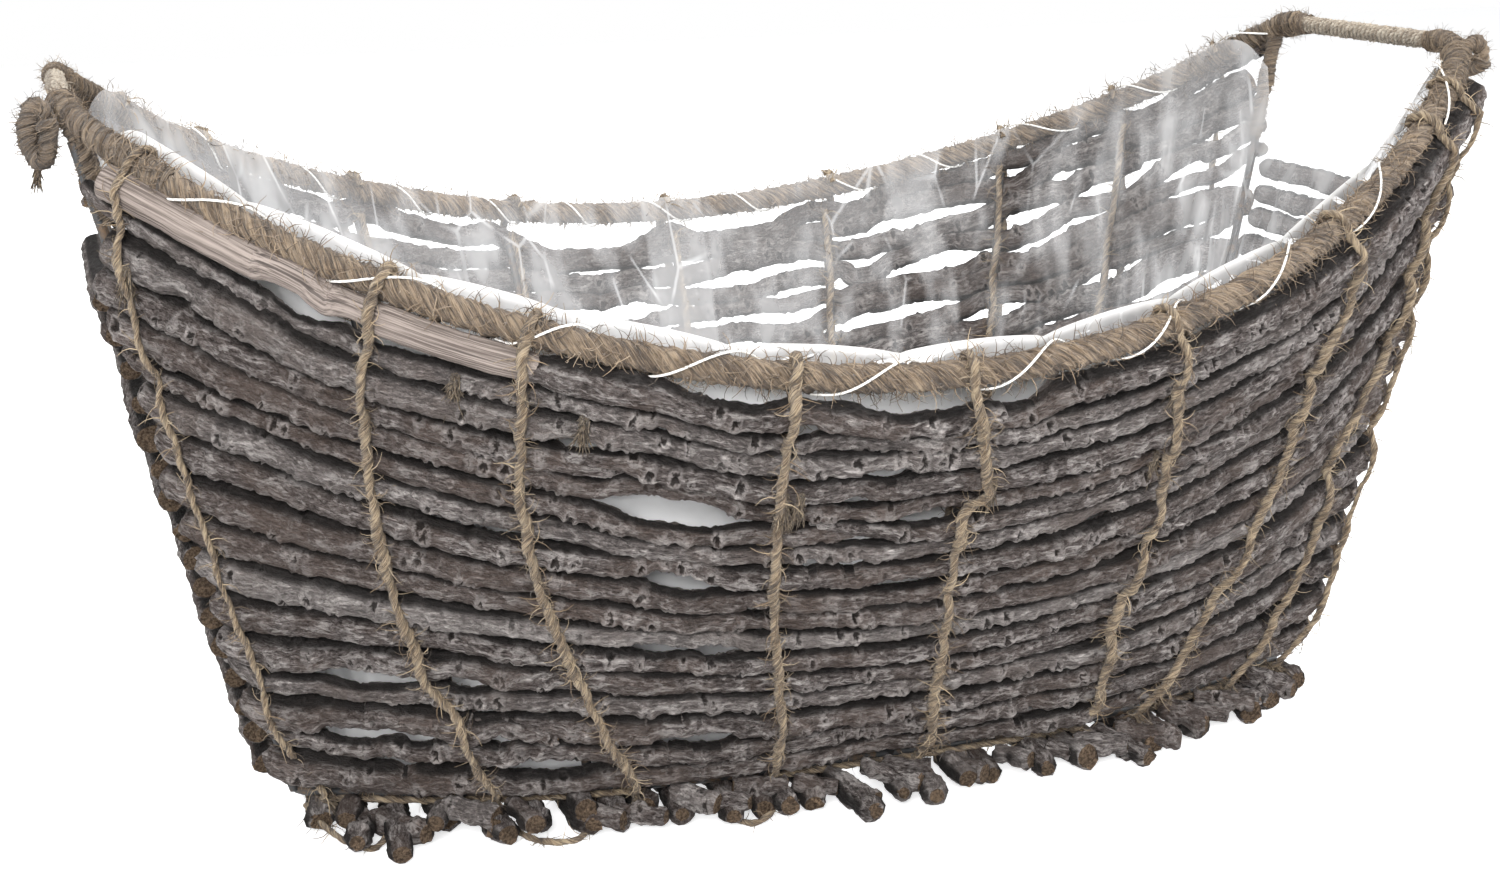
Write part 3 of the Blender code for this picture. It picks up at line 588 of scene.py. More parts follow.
def make_piece(name, paths, tree, slot, *nodes, **inputs):
    """Run a tree on paths, keep the result as a plain mesh that stands on the floor, and settle it."""
    source = paths_curve(name + "_path", paths)
    modifier = source.modifiers.new("make", "NODES")
    modifier.node_group = tree
    sockets = {item.name: item.identifier for item in tree.interface.items_tree if item.in_out == "INPUT"}
    for label, value in inputs.items():
        modifier[sockets[label.replace("_", " ")]] = value
    graph = bpy.context.evaluated_depsgraph_get()
    mesh = bpy.data.meshes.new_from_object(source.evaluated_get(graph), depsgraph=graph)
    bpy.data.objects.remove(source, do_unlink=True)
    mesh.name = name
    for vertex in mesh.vertices:
        if vertex.co.z < 0:
            vertex.co.z = 0.0
    item = bpy.data.objects.new(name, mesh)
    bpy.context.scene.collection.objects.link(item)
    return settle(item, slot, *nodes)


# %% [markdown]
# ## Sticks along the sides
# Each side is a stack of about seventeen long sticks. The frame holds one plain rod for each, so its
# rings of points tell where the stick's centre line runs and how thick it is. A smooth curve goes
# through those centres, and a little wander is added, because a natural stick is never quite straight.

# %% Read a rod's centre line from the frame
RING_SPREAD = 0.004


def rod_rings(node):
    """(centre, radius) of each ring of points of a frame rod, from left to right."""
    places = sorted({tuple(round(value, 6) for value in vertex.co)
                     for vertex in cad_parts[node].data.vertices})
    rings = [[Vector(places[0])]]
    for place in places[1:]:
        if place[0] - rings[-1][-1].x > RING_SPREAD:
            rings.append([])
        rings[-1].append(Vector(place))
    found = []
    for ring in rings:
        centre = sum(ring, Vector()) / len(ring)
        found.append((centre, sum((point - centre).length for point in ring) / len(ring)))
    return found


def smooth_path(points, radii, step):
    """A Catmull-Rom curve through the points, with radii in step."""
    dense, widths = [], []
    for i in range(len(points) - 1):
        before = points[i - 1] if i else points[0] * 2 - points[1]
        after = points[i + 2] if i + 2 < len(points) else points[-1] * 2 - points[-2]
        first, last = points[i], points[i + 1]
        count = max(round((last - first).length / step), 1)
        for k in range(count):
            t = k / count
            dense.append(0.5 * (2 * first + (last - before) * t
                         + (2 * before - 5 * first + 4 * last - after) * t**2
                         + (3 * first - before - 3 * last + after) * t**3))
            widths.append(radii[i] * (1 - t) + radii[i + 1] * t)
    return [*dense, points[-1]], [*widths, radii[-1]]


NOISE_PLACES = (Vector((0.0, 0.0, 0.0)), Vector((31.7, 4.1, 0.0)), Vector((57.3, 0.0, 8.9)))


def wander(points, seed, reach, rate=38.0):
    """Move points a little off their line, the way a natural stick wavers."""
    moved = []
    for point in points:
        place = Vector((point.x * rate, point.y * rate, seed * 7.3))
        shift = Vector([noise.noise(place + other) for other in NOISE_PLACES]) * reach
        moved.append(point + Vector((shift.x * 0.4, shift.y, shift.z * 0.6)))
    return moved


# %% [markdown]
# The sticks of a wall lie one on another from the base ring up to the rope. Their places and widths
# are read from the frame, then closed up so that every stick rests on the one below.

# %% Stack the rows of a wall
ROPE = 0.0088
TOP_FRONT_STICK = "front_stick_17"
BARE_END, WOOD_SWELL = -0.112, 0.82
OVERLAP, RELIEF, STACK_MARKS = 1.05, 0.0008, 80
LARGEST_SHIFT, LARGEST_RADIUS, UNDER_ROPE = 0.013, 0.0068, 0.0070
FIT_RANGE = (0.80, 1.70)
stick_nodes = sorted(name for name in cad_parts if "_stick_" in name)


def place_on_wall(point, side):
    """The shares of slope and length of a point on a wall."""
    share = 0.5
    for _ in range(4):
        s = point.x / (BASE_HALF_LENGTH + (RIM_HALF_LENGTH - BASE_HALF_LENGTH) * share)
        share = (point.z - RING_Z) / (rim_at(s, side).z - RING_Z)
    return share, s


def row_of(node):
    return int(node.split("_")[2]) - 1


def read_rows(side):
    """The (s, share, radius) marks of each row of a side, from the base up."""
    rows = {}
    for node in stick_nodes:
        if node.startswith(SIDE_NAMES[side]):
            for centre, radius in rod_rings(node):
                share, s = place_on_wall(centre, side)
                bare = node == TOP_FRONT_STICK and centre.x < BARE_END
                rows.setdefault(row_of(node), []).append((s, share, radius * (WOOD_SWELL if bare else 1)))
    return [sorted(rows[number]) for number in sorted(rows)]


def at_row(marks, s):
    """Share of the slope and radius of a row at a place along the wall."""
    after = next((k for k, mark in enumerate(marks) if mark[0] > s), len(marks) - 1)
    first, second = marks[max(after - 1, 0)], marks[after]
    t = clamp((s - first[0]) / max(second[0] - first[0], 1e-6))
    return first[1] + (second[1] - first[1]) * t, first[2] + (second[2] - first[2]) * t


def stack_rows(side):
    """For marks along a wall, each row's shift up the slope and its new share of width."""
    table, rows = [], read_rows(side)
    for s in steps(-1, 2, STACK_MARKS):
        found = [at_row(marks, s) for marks in rows]
        slope = slope_at(s, side).length
        bottom = found[0][0] * slope - found[0][1]
        fit = clamp((slope - UNDER_ROPE - bottom) / sum(2 * radius for _, radius in found), *FIT_RANGE)
        shifts, height = [], bottom
        for share, radius in found:
            shift = height + radius * fit - share * slope
            shifts.append(clamp(shift, -LARGEST_SHIFT, LARGEST_SHIFT))
            height += 2 * radius * fit
        table.append((shifts, fit))
    return table


STACKS = {side: stack_rows(side) for side in SIDE_NAMES}


def stacked(row, s, side):
    """Shift up the slope and width of a stick of a row, at a place along the wall."""
    place = (clamp(s, -1.0) + 1) / 2 * STACK_MARKS
    k = min(int(place), STACK_MARKS - 1)
    (low, low_fit), (high, high_fit) = STACKS[side][k], STACKS[side][k + 1]
    t = place - k
    return low[row] + (high[row] - low[row]) * t, low_fit + (high_fit - low_fit) * t


for side, name in SIDE_NAMES.items():
    widths = [fit for _, fit in STACKS[side]]
    print(name, "sticks are", round(min(widths), 2), "to", round(max(widths), 2), "of their nodes' width")

# %% [markdown]
# Light shows through the wall where crooked sticks part. Each such slit is listed by its place on the
# wall, its half length and its height in millimetres. The two rows beside it bow apart, and the rows
# beyond them give way by half as much each. The top gap is the one to the rope.

# %% Slits between the sticks
FRONT_SLITS = (
    (0.71, -0.35, 0.08, 8.5), (0.54, -0.35, 0.05, 5.2), (0.87, -0.35, 0.03, 1.2), (0.95, -0.29, 0.055, 1.9),
    (0.95, -0.04, 0.07, 3.2), (0.94, 0.09, 0.04, 3.2), (0.89, -0.19, 0.02, 2.4), (0.77, -0.07, 0.03, 1.7),
    (0.72, -0.11, 0.025, 1.3), (0.68, 0.0, 0.035, 2.2), (0.59, -0.16, 0.015, 1.8), (0.59, -0.1, 0.015, 1.8),
    (0.51, -0.01, 0.06, 1.8), (0.48, -0.23, 0.02, 1.8), (0.27, -0.81, 0.075, 2.7), (0.27, -0.67, 0.035, 1.7),
    (0.16, -0.79, 0.06, 3.2), (0.13, -0.87, 0.045, 3.6), (0.05, -0.81, 0.015, 2.5), (0.16, -0.64, 0.02, 3.4),
    (0.1, -0.56, 0.075, 4.2), (0.12, -0.3, 0.045, 4.2), (0.13, -0.37, 0.015, 2.4), (0.35, -0.29, 0.03, 2.3),
    (0.36, -0.38, 0.035, 1.4), (0.91, -0.77, 0.025, 3.5), (0.92, -0.7, 0.015, 1.3), (0.82, -0.9, 0.015, 1.0),
    (0.05, 0.29, 0.02, 3.3), (0.79, -0.46, 0.025, 1.5), (0.17, 0.88, 0.065, 2.0), (0.6, 0.3, 0.03, 1.4),
)
BACK_SLITS = (
    (0.94, -0.14, 0.12, 9.5), (0.96, 0.11, 0.055, 6.0), (0.95, 0.18, 0.075, 5.6), (0.94, 0.37, 0.035, 2.8),
    (0.84, 0.45, 0.115, 4.1), (0.88, 0.55, 0.04, 2.7), (0.83, 0.08, 0.05, 2.3), (0.81, 0.18, 0.125, 4.6),
    (0.77, 0.16, 0.04, 6.4), (0.76, 0.25, 0.05, 4.1), (0.79, 0.39, 0.035, 3.2), (0.74, 0.52, 0.055, 6.3),
    (0.72, 0.44, 0.025, 4.1), (0.66, 0.43, 0.11, 5.4), (0.71, 0.23, 0.07, 4.1), (0.87, -0.12, 0.05, 2.7),
    (0.75, -0.07, 0.04, 5.4), (0.74, -0.15, 0.04, 1.8), (0.65, 0.13, 0.055, 2.7), (0.7, 0.11, 0.06, 2.3),
    (0.56, 0.47, 0.08, 6.3), (0.74, 0.34, 0.015, 5.0), (0.61, 0.63, 0.045, 4.0), (0.96, 0.67, 0.03, 3.1),
    (0.91, 0.66, 0.03, 2.7), (0.85, 0.71, 0.04, 4.0), (0.81, 0.67, 0.045, 6.3), (0.75, 0.71, 0.055, 4.0),
    (0.96, 0.85, 0.04, 5.2), (0.91, 0.94, 0.04, 2.6), (0.84, 0.97, 0.025, 4.2), (0.83, 0.83, 0.015, 3.1),
    (0.78, 0.93, 0.065, 2.6), (0.79, 0.83, 0.03, 4.4), (0.73, 0.96, 0.03, 2.1), (0.73, 0.89, 0.08, 3.0),
    (0.69, 0.93, 0.045, 1.7), (0.71, 0.84, 0.03, 1.7), (0.88, 0.82, 0.015, 2.6), (0.58, 0.92, 0.04, 4.3),
    (0.59, 0.84, 0.045, 2.6), (0.8, 0.77, 0.015, 2.2), (0.78, 0.75, 0.02, 1.8), (0.69, 0.76, 0.015, 1.8),
    (0.9, -0.48, 0.13, 3.4), (0.96, -0.41, 0.085, 2.6), (0.89, -0.32, 0.02, 2.2), (0.96, -0.59, 0.02, 2.0),
    (0.75, -0.22, 0.015, 3.5), (0.3, -0.6, 0.05, 2.0), (0.2, 0.3, 0.06, 2.0), (0.4, 0.0, 0.05, 2.0),
    (0.45, 0.7, 0.04, 2.0), (0.35, 0.5, 0.04, 1.8), (0.25, -0.2, 0.05, 1.8), (0.55, -0.75, 0.04, 2.2),
)
GIVE_WAY = 0.5
SLIT_SPARE = 0.0011
TOP_GAP_SHARE = 0.93
SLIT_THINNING = {FRONT: 0.22, BACK: 0.0}


def find_gaps(side, slits):
    """For each slit the gap it falls in, its place, its half length and how far its rows part."""
    found, rows = [], read_rows(side)
    for share, s, half, height in slits:
        slope = slope_at(s, side).length
        places = [at_row(marks, s)[0] + stacked(i, s, side)[0] / slope for i, marks in enumerate(rows)]
        places.append(1.0)
        gap = min(range(len(rows)), key=lambda i: abs((places[i] + places[i + 1]) / 2 - share))
        if share > TOP_GAP_SHARE:
            gap = len(rows) - 1
        apart = height / 1000 + SLIT_SPARE
        found.append((gap, s, half + 0.004, apart / (1 if gap == len(rows) - 1 else 2)))
    return found


GAPS = {FRONT: find_gaps(FRONT, FRONT_SLITS), BACK: find_gaps(BACK, BACK_SLITS)}


def parted(row, s, side):
    """How far up the slope the slits push a stick of this row."""
    widest = {}
    for gap, place, half, reach in GAPS[side]:
        along = abs(s - place) / half
        if along < 1.8:
            widest[gap] = max(widest.get(gap, 0.0), reach * math.exp(-along**4))
    return sum(reach * (GIVE_WAY ** (row - gap - 1) if row > gap else -GIVE_WAY ** (gap - row))
               for gap, reach in widest.items())


def thinned(row, s, side):
    """Share of its radius that a stick keeps beside a slit."""
    near = max((math.exp(-(abs(s - place) / half) ** 4) for gap, place, half, _ in GAPS[side]
                if gap in (row - 1, row)), default=0.0)
    return 1 - SLIT_THINNING[side] * near


print(len(FRONT_SLITS), "front slits and", len(BACK_SLITS), "back slits")

# %% [markdown]
# At the corners the side sticks bend round the end wall and hide its cut ends. Only the topmost ones,
# beside the hand gap, stop short at the corner. Where a row is made of two sticks, they overlap with
# thinned ends, one a little higher than the other.

# %% Ends of the side sticks
def reach_out(points, radii, end, extra, taper=0.94):
    """Run one end of a path on, in line with its last stretch."""
    last, inner = (0, 1) if end == LEFT else (-1, -2)
    step = (points[last] - points[inner]).normalized() * extra
    place = 0 if end == LEFT else len(points)
    new_point, new_radius = points[last] + step, radii[last] * taper
    points.insert(place, new_point)
    radii.insert(place, new_radius)


END_WALL_TOP = 0.195
BEND_STEPS, BEND_RADIUS = 6, 0.0078


def turn_corner(points, radii, side, end, rng):
    """Bend one end of a side stick round the corner of the basket."""
    last = 0 if end == LEFT else -1
    share = points[last].z / END_WALL_TOP
    if points[last].z > END_WALL_TOP + 0.006:
        extra = CORNER_REACH + rng.uniform(0.0, 0.004)
        if (side, end) == (FRONT, RIGHT):
            reach_out(points, radii, end, 0.0030, 0.92)
        reach_out(points, radii, end, extra, 0.84)
        return
    reach_out(points, radii, end, 0.0022 + 0.0045 * share + rng.uniform(-0.0015, 0.0015), 1.0)
    run = (points[last] - points[1 if end == LEFT else -2]).normalized()
    inward = Vector((0, -side, 0))
    angle = math.radians(rng.uniform(62, 84)) / BEND_STEPS
    step = BEND_RADIUS * angle * rng.uniform(0.9, 1.15)
    for k in range(1, BEND_STEPS + 1):
        move = run * math.cos(k * angle) + inward * math.sin(k * angle)
        point = points[last] + move.normalized() * step + Vector((0, 0, rng.uniform(-0.0004, 0.0004)))
        place = 0 if end == LEFT else len(points)
        points.insert(place, point)
        radii.insert(place, radii[last] * (0.99 - 0.012 * k))


def overlap(points, radii, end, side):
    """Thin one end of a stick and lay it beside the stick it meets."""
    reach_out(points, radii, end, 0.008, 0.95)
    reach_out(points, radii, end, 0.008, 0.90)
    last = 0 if end == LEFT else -1
    tip = points[last].copy()
    rise = UP_THE_WALL[side] * (0.0020 if end == LEFT else -0.0020)
    for i, point in enumerate(points):
        near = max(1 - (point - tip).length / 0.036, 0.0)
        near = near * near * (3 - 2 * near)
        points[i] = point + rise * near
        radii[i] *= 1 - 0.45 * near


# %% [markdown]
# Each side stick is swept along its own line: the rod's, wandering a little, moved to its place in the
# stack and parted at the slits. The top front stick is made in two pieces, bare wood and bark, and the
# thinning end of one lies inside the other.

# %% Make the side sticks
STICK_SIDES = 14
CORNER_REACH = 0.0065
STICK_DETAIL = {FRONT: (0.0008, 20), BACK: (0.0012, 12)}
BARK_RELIEF = {"Lump": 0.0011, "Wrinkle": 0.0012, "Scar": 0.0013}
WOOD_RELIEF = {"Lump": 0.0006, "Wrinkle": 0.0003, "Scar": 0.0}
SEED_STEP = 0.731
side_sticks = {FRONT: [], BACK: []}
bend_rng = random.Random(12)


def side_stick_path(node, number, side):
    """Centre line and radii of a stick, closed up with its neighbours and parted at the slits."""
    rings, row = rod_rings(node), row_of(node)
    points, radii = smooth_path([ring[0] for ring in rings], [ring[1] for ring in rings], 0.004)
    points = wander(wander(points, number, 0.0018), number + 50, 0.0026, 11.0)
    for i, point in enumerate(points):
        s = place_on_wall(point, side)[1]
        shift, width = stacked(row, s, side)
        radii[i] = min(radii[i] * width * OVERLAP - RELIEF, LARGEST_RADIUS) * thinned(row, s, side)
        points[i] = point + slope_at(s, side).normalized() * (shift + parted(row, s, side))
    for end, inner_name in ((LEFT, "_right"), (RIGHT, "_left")):
        if node.endswith(inner_name):
            overlap(points, radii, end, side)
        else:
            turn_corner(points, radii, side, end, bend_rng)
    return points, radii


def make_stick(name, node, path, side, number, material, relief):
    step, sides = STICK_DETAIL[side]
    side_sticks[side].append(make_piece(
        name, [path], STICK_TREE, "coco_stick", node, Step=step, Sides=sides, **relief,
        Stack=UP_THE_WALL[side], Seed=number * SEED_STEP, Material=material))


for number, node in enumerate(stick_nodes):
    side = FRONT if node.startswith("front") else BACK
    points, radii = side_stick_path(node, number, side)
    if node == TOP_FRONT_STICK:
        bare = [i for i, point in enumerate(points) if point.x < BARE_END]
        thin = [radii[i] * WOOD_SWELL * min(0.45 + 0.14 * (bare[-1] - i), 1.0) for i in bare[1:]]
        wood = ([points[i] for i in bare[1:]], thin)
        make_stick(node + "_wood", node, wood, side, number, BARE_WOOD, WOOD_RELIEF)
        points, radii = points[bare[-1] - 5:], radii[bare[-1] - 5:]
        radii[:5] = [radius * (0.45 + 0.11 * i) for i, radius in enumerate(radii[:5])]
    make_stick(node + "_bark", node, (points, radii), side, number, BARK, BARK_RELIEF)
print(len(stick_nodes), "side sticks")

# %% [markdown]
# ## Sticks across the ends and the base
# Short sticks close the two ends, one above the other up to just under the hand gap, and more of them
# lie side by side under the ring as a base. Their cut ends are left long and uneven, past the corners
# and past the front wall. Their places follow the same rules and the same seeds as the frame's rods.

# %% Make the end sticks
GAP = 0.0003
FOOT_ROOM = 0.0030
ROW_CLEARANCE = 0.0007
END_ROWS, END_STICK = 16, 0.0088
TIP_REACH, TIP_REACH_AT_TOP, ROWS_BELOW_TOP = 0.0015, -0.004, 13
STICK_SPREAD = 0.14
END_RELIEF = {"Lump": 0.0012, "Wrinkle": 0.0009, "Scar": 0.0009}
end_foot, end_top = Vector((BASE_HALF_LENGTH, 0, RING_Z)), Vector((RIM_HALF_LENGTH, 0, HANDLE_HEIGHT))
end_slope = math.hypot(RIM_HALF_LENGTH - BASE_HALF_LENGTH, HANDLE_HEIGHT - RING_Z)


def end_at(y_share, height, end, out):
    """Point of an end wall, at a share of its half width and a height up its slope."""
    rise = end_top - end_foot
    share = height / rise.length
    point = end_foot + rise * share + Vector((rise.z, 0, -rise.x)).normalized() * out
    half_width = BASE_END_HALF_WIDTH + (HANDLE_HALF_WIDTH - BASE_END_HALF_WIDTH) * share
    return Vector((end * point.x, y_share * half_width, point.z))


def end_rows(end):
    """(height up the slope, radius) of each end stick, from the base up."""
    rng = random.Random(40 + end)
    low = RING_WIRE / 2 + FOOT_ROOM
    room = end_slope * (END_WALL_TOP - RING_Z) / (HANDLE_HEIGHT - RING_Z) - low
    radii = [END_STICK / 2 * (1 + STICK_SPREAD * rng.uniform(-1, 1)) for _ in range(END_ROWS)]
    weights = [rng.uniform(0.2, 1.0) for _ in range(END_ROWS)]
    slack = room - 2 * sum(radii) - END_ROWS * ROW_CLEARANCE
    rows, height = [], low
    for radius, weight in zip(radii, weights):
        height += ROW_CLEARANCE + slack * weight / sum(weights)
        rows.append((height + radius, radius))
        height += 2 * radius
    return rows


def straight(start, stop, radius, seed, reach=0.0012, step=0.004):
    """A nearly straight stick between two points."""
    count = max(int((stop - start).length / step), 2)
    points = [start.lerp(stop, t) for t in steps(0, 1, count)]
    return wander(points, seed, reach, 30.0), [radius] * (count + 1)


for end, name in END_NAMES.items():
    rng = random.Random(50 + end)
    paths = []
    for row, (height, radius) in enumerate(end_rows(end)):
        ends = []
        for side in (FRONT, BACK):
            point = end_at(side, height, end, RIB_WIRE / 2 + GAP + radius)
            reach = TIP_REACH if row < ROWS_BELOW_TOP else TIP_REACH_AT_TOP
            point.y += side * (reach + rng.uniform(-0.002, 0.002))
            ends.append(point)
        paths.append(straight(*ends, radius * 1.05, 60 + 20 * end + row))
    make_piece(name + "_end_sticks", paths, STICK_TREE, "coco_stick", name + "_end_wall", Step=0.001,
               Sides=STICK_SIDES, **END_RELIEF, Stack=(0.23 * end, 0.0, 0.97), Seed=40.0 + end,
               Material=BARK)
print(2 * END_ROWS, "end sticks")

# %% [markdown]
# The base is a row of cross sticks that stick out past the front and the back. Their front ends are cut
# by hand: they bend, swell and break off, and short broken pieces lie on them, which close the line
# under the wall. All of them stand on the floor at z = 0.

# %% Make the base sticks
BASE_ROW, BASE_STICK = 28, 0.0095
FRONT_OVERHANG, BACK_OVERHANG = 0.017, 0.011
FRONT_STRAYS = {1: 0.012, 2: 0.026, 6: 0.009, 13: 0.012, 15: 0.012}
BROKEN_PIECES, ROUGH_POINTS = 30, 7
BASE_RELIEF = {"Lump": 0.0015, "Wrinkle": 0.0013, "Scar": 0.0013}
place_rng, reach_rng, piece_rng = random.Random(7), random.Random(8), random.Random(17)
base_span = 2 * BASE_HALF_LENGTH - BASE_STICK
base_places = [(x, BASE_STICK * (1 if i % 3 == 0 else place_rng.uniform(0.84, 0.97)))
               for i, x in enumerate(steps(-base_span / 2, base_span, BASE_ROW - 1))]


def base_overhang(side, index):
    if side == FRONT:
        return FRONT_OVERHANG + reach_rng.uniform(-0.008, 0.008) + FRONT_STRAYS.get(index, 0)
    return BACK_OVERHANG + reach_rng.uniform(-0.004, 0.006)


def rough_end(points, radii, rng):
    """Bend, swell and break off a stick towards its front end."""
    turn = Vector((rng.uniform(-0.004, 0.004), 0, rng.uniform(-0.001, 0.002)))
    swell = rng.uniform(-0.15, 0.32)
    for i in range(ROUGH_POINTS):
        near = (1 - i / ROUGH_POINTS) ** 1.5
        points[i] = points[i] + turn * near
        radii[i] *= 1 + swell * near * (0.5 + 0.5 * math.cos(i * 1.7 + swell * 20))
    radii[0] *= rng.uniform(0.50, 0.88)
    return [Vector((point.x, point.y, max(point.z, radius + 0.0003)))
            for point, radius in zip(points, radii)], radii


def base_stick(index, x, diameter):
    """One cross stick of the base, with a rough front end."""
    ends = []
    for side in (FRONT, BACK):
        y = abs(base_at(x / BASE_HALF_LENGTH, side).y) + base_overhang(side, index)
        ends.append(Vector((x + reach_rng.uniform(-0.006, 0.006), side * y, BASE_STICK - diameter / 2)))
    return rough_end(*straight(*ends, diameter / 2 * 1.04, 200 + index, reach=0.0022), reach_rng)


def broken_piece(s, yaw, length, radius, lift, rng):
    """A short piece of stick that lies on the base sticks' front ends."""
    middle = base_at(s, FRONT) + Vector((0, -rng.uniform(0.010, 0.016), 0))
    middle.z = lift
    run = Vector((math.cos(yaw), math.sin(yaw), rng.uniform(-0.15, 0.05))).normalized()
    points, radii = straight(middle - run * length / 2, middle + run * length / 2, radius,
                             rng.uniform(0, 90), 0.002, 0.003)
    return points, [r * (0.9 + 0.25 * rng.random()) for r in radii]


paths = [base_stick(index, x, diameter) for index, (x, diameter) in enumerate(base_places)]
for index in range(BROKEN_PIECES):
    s = -0.95 + 1.88 * (index + piece_rng.uniform(0.1, 0.9)) / BROKEN_PIECES
    thick = piece_rng.uniform(0.0028, 0.0043)
    paths.append(broken_piece(s, -piece_rng.uniform(0.3, 1.9), piece_rng.uniform(0.014, 0.027), thick,
                              BASE_STICK + thick * piece_rng.uniform(-0.9, 0.5), piece_rng))
make_piece("base_sticks", paths, STICK_TREE, "coco_stick", "base_mat", Step=0.001, Sides=STICK_SIDES,
           **BASE_RELIEF, Stack=(1.0, 0.0, 0.0), Seed=70.0, Material=BARK)
print(BASE_ROW, "base sticks and", BROKEN_PIECES, "broken pieces")

# %% [markdown]
# ## Jute
# Twine is two or three plies laid round each other. Instead of sweeping each ply by itself, the section
# is given lobes and turned steadily along the path, which gives the same rope in one closed body.
# Loose fibres stand out all over it, so a few thousand short bent hairs are set on the surface.

# %% Tree for rope and twine
def lay_of(tree, ins):
    """The turning of a strand along its path: once per pitch."""
    return lambda length: times(tree, length, calc(tree, "DIVIDE", 2 * math.pi, ins["Pitch"]))


def lobes_of(tree, ins, valley):
    """A round section with a lobe for each ply; adds the depth of the valleys to the list."""
    def shape(ring):
        parts = add(tree, "ShaderNodeSeparateXYZ", {0: ring.outputs["round"]})
        angle = calc(tree, "ARCTAN2", parts.outputs[1], parts.outputs[0])
        wave = calc(tree, "COSINE", times(tree, angle, calc(tree, "DIVIDE", ins["Lobes"], 2.0)))
        fall = minus(tree, 1.0, calc(tree, "POWER", calc(tree, "ABSOLUTE", wave), 0.7))
        size = minus(tree, 1.0, times(tree, fall, ins["Depth"]))
        shaped = vector(tree, "SCALE", ring.outputs["round"], size)
        noted = keep(tree, ring.outputs["Geometry"], "FLOAT", valley=fall.outputs[0])
        valley.append(noted.outputs["valley"])
        return add(tree, "GeometryNodeSetPosition", {0: noted.outputs["Geometry"], "Position": shaped})
    return shape


def make_hair(tree):
    """One hair a unit long: it stands up, bends over and gets thinner."""
    arch = add(tree, "GeometryNodeCurveQuadraticBezier", {
        "Resolution": 3, "Start": (0.0, 0.0, -0.05), "Middle": (0.1, 0.0, 0.6), "End": (0.75, 0.2, 0.75)})
    along = add(tree, "GeometryNodeSplineParameter").outputs["Factor"]
    thin = remap(tree, along, 0.0, 1.0, 0.034, 0.012)
    arch = add(tree, "GeometryNodeSetCurveRadius", {"Curve": arch, "Radius": thin})
    ring = add(tree, "GeometryNodeCurvePrimitiveCircle", {"Resolution": 3, "Radius": 1.0})
    width = add(tree, "GeometryNodeInputRadius")
    return add(tree, "GeometryNodeCurveToMesh", {"Curve": arch, "Profile Curve": ring, "Scale": width,
                                                 "Fill Caps": True})


def grow_hairs(tree, mesh, ins):
    """Hairs all over a strand, each turned and scaled by chance."""
    scatter = add(tree, "GeometryNodeDistributePointsOnFaces",
                  {"Mesh": mesh, "Density": ins["Hairs"], "Seed": ins["Seed"]})
    spin = add(tree, "FunctionNodeRandomValue", {0: (-0.7, -0.7, 0.0), 1: (0.7, 0.7, 6.283),
                                                 "Seed": ins["Seed"]}, data_type="FLOAT_VECTOR")
    turn = add(tree, "FunctionNodeEulerToRotation", {0: spin})
    turned = add(tree, "FunctionNodeRotateRotation", {0: scatter.outputs["Rotation"], 1: turn},
                 rotation_space="LOCAL")
    size = add(tree, "FunctionNodeRandomValue", {2: 0.30, 3: 1.25, "Seed": 5}, data_type="FLOAT")
    return add(tree, "GeometryNodeInstanceOnPoints", {
        "Points": scatter.outputs["Points"], "Instance": make_hair(tree), "Rotation": turned,
        "Scale": times(tree, size.outputs[1], ins["Hair Length"])})


def make_strand_tree():
    tree, ins = start_tree("laid_strand", **{
        "Step": "Float", "Sides": "Int", "Pitch": "Float", "Lobes": "Float", "Depth": "Float",
        "Hairs": "Float", "Hair Length": "Float", "Stack": "Vector", "Seed": "Int",
        "Material": "Material"})
    valley = []
    mesh, facts = sweep(tree, ins, lay_of(tree, ins), lobes_of(tree, ins, valley))
    grain = grain_of(tree, facts, ins["Seed"])
    mesh = store(tree, mesh, "grain", grain, "FLOAT_VECTOR")
    # Painted shade: darker in the valleys between the plies and on flanks that face the Stack direction.
    painted_shade = calc(tree, "MAXIMUM", remap(tree, valley[0], 0.25, 1.0),
                   remap(tree, facing(tree, ins["Stack"]), 0.45, 0.95))
    mesh = store(tree, mesh, "painted_shade", painted_shade)
    rough = minus(tree, cloud(tree, stretch(tree, grain, (700.0, 700.0, 160.0)), 1.0, 3.0), 0.5)
    mesh = push_out(tree, mesh, times(tree, rough, times(tree, facts["radius"], 1.1)))
    mesh = add(tree, "GeometryNodeSetShadeSmooth", {"Geometry": mesh})
    both = add(tree, "GeometryNodeJoinGeometry")
    for part in (mesh, grow_hairs(tree, mesh, ins)):
        tree.links.new(part.outputs[0], both.inputs[0])
    return end_tree(tree, both, ins["Material"])


STRAND_TREE = make_strand_tree()
print("strand tree has", len(STRAND_TREE.nodes), "nodes")

# %% [markdown]
# Jute is dull and a little silky, so it has some sheen. Its colour goes from dark to pale with a fine
# pattern that runs along the fibres, and painted shade makes it darkest in the valleys between the plies.
# Rope, common twine, old twine and the pale handle strand differ only in their colours.

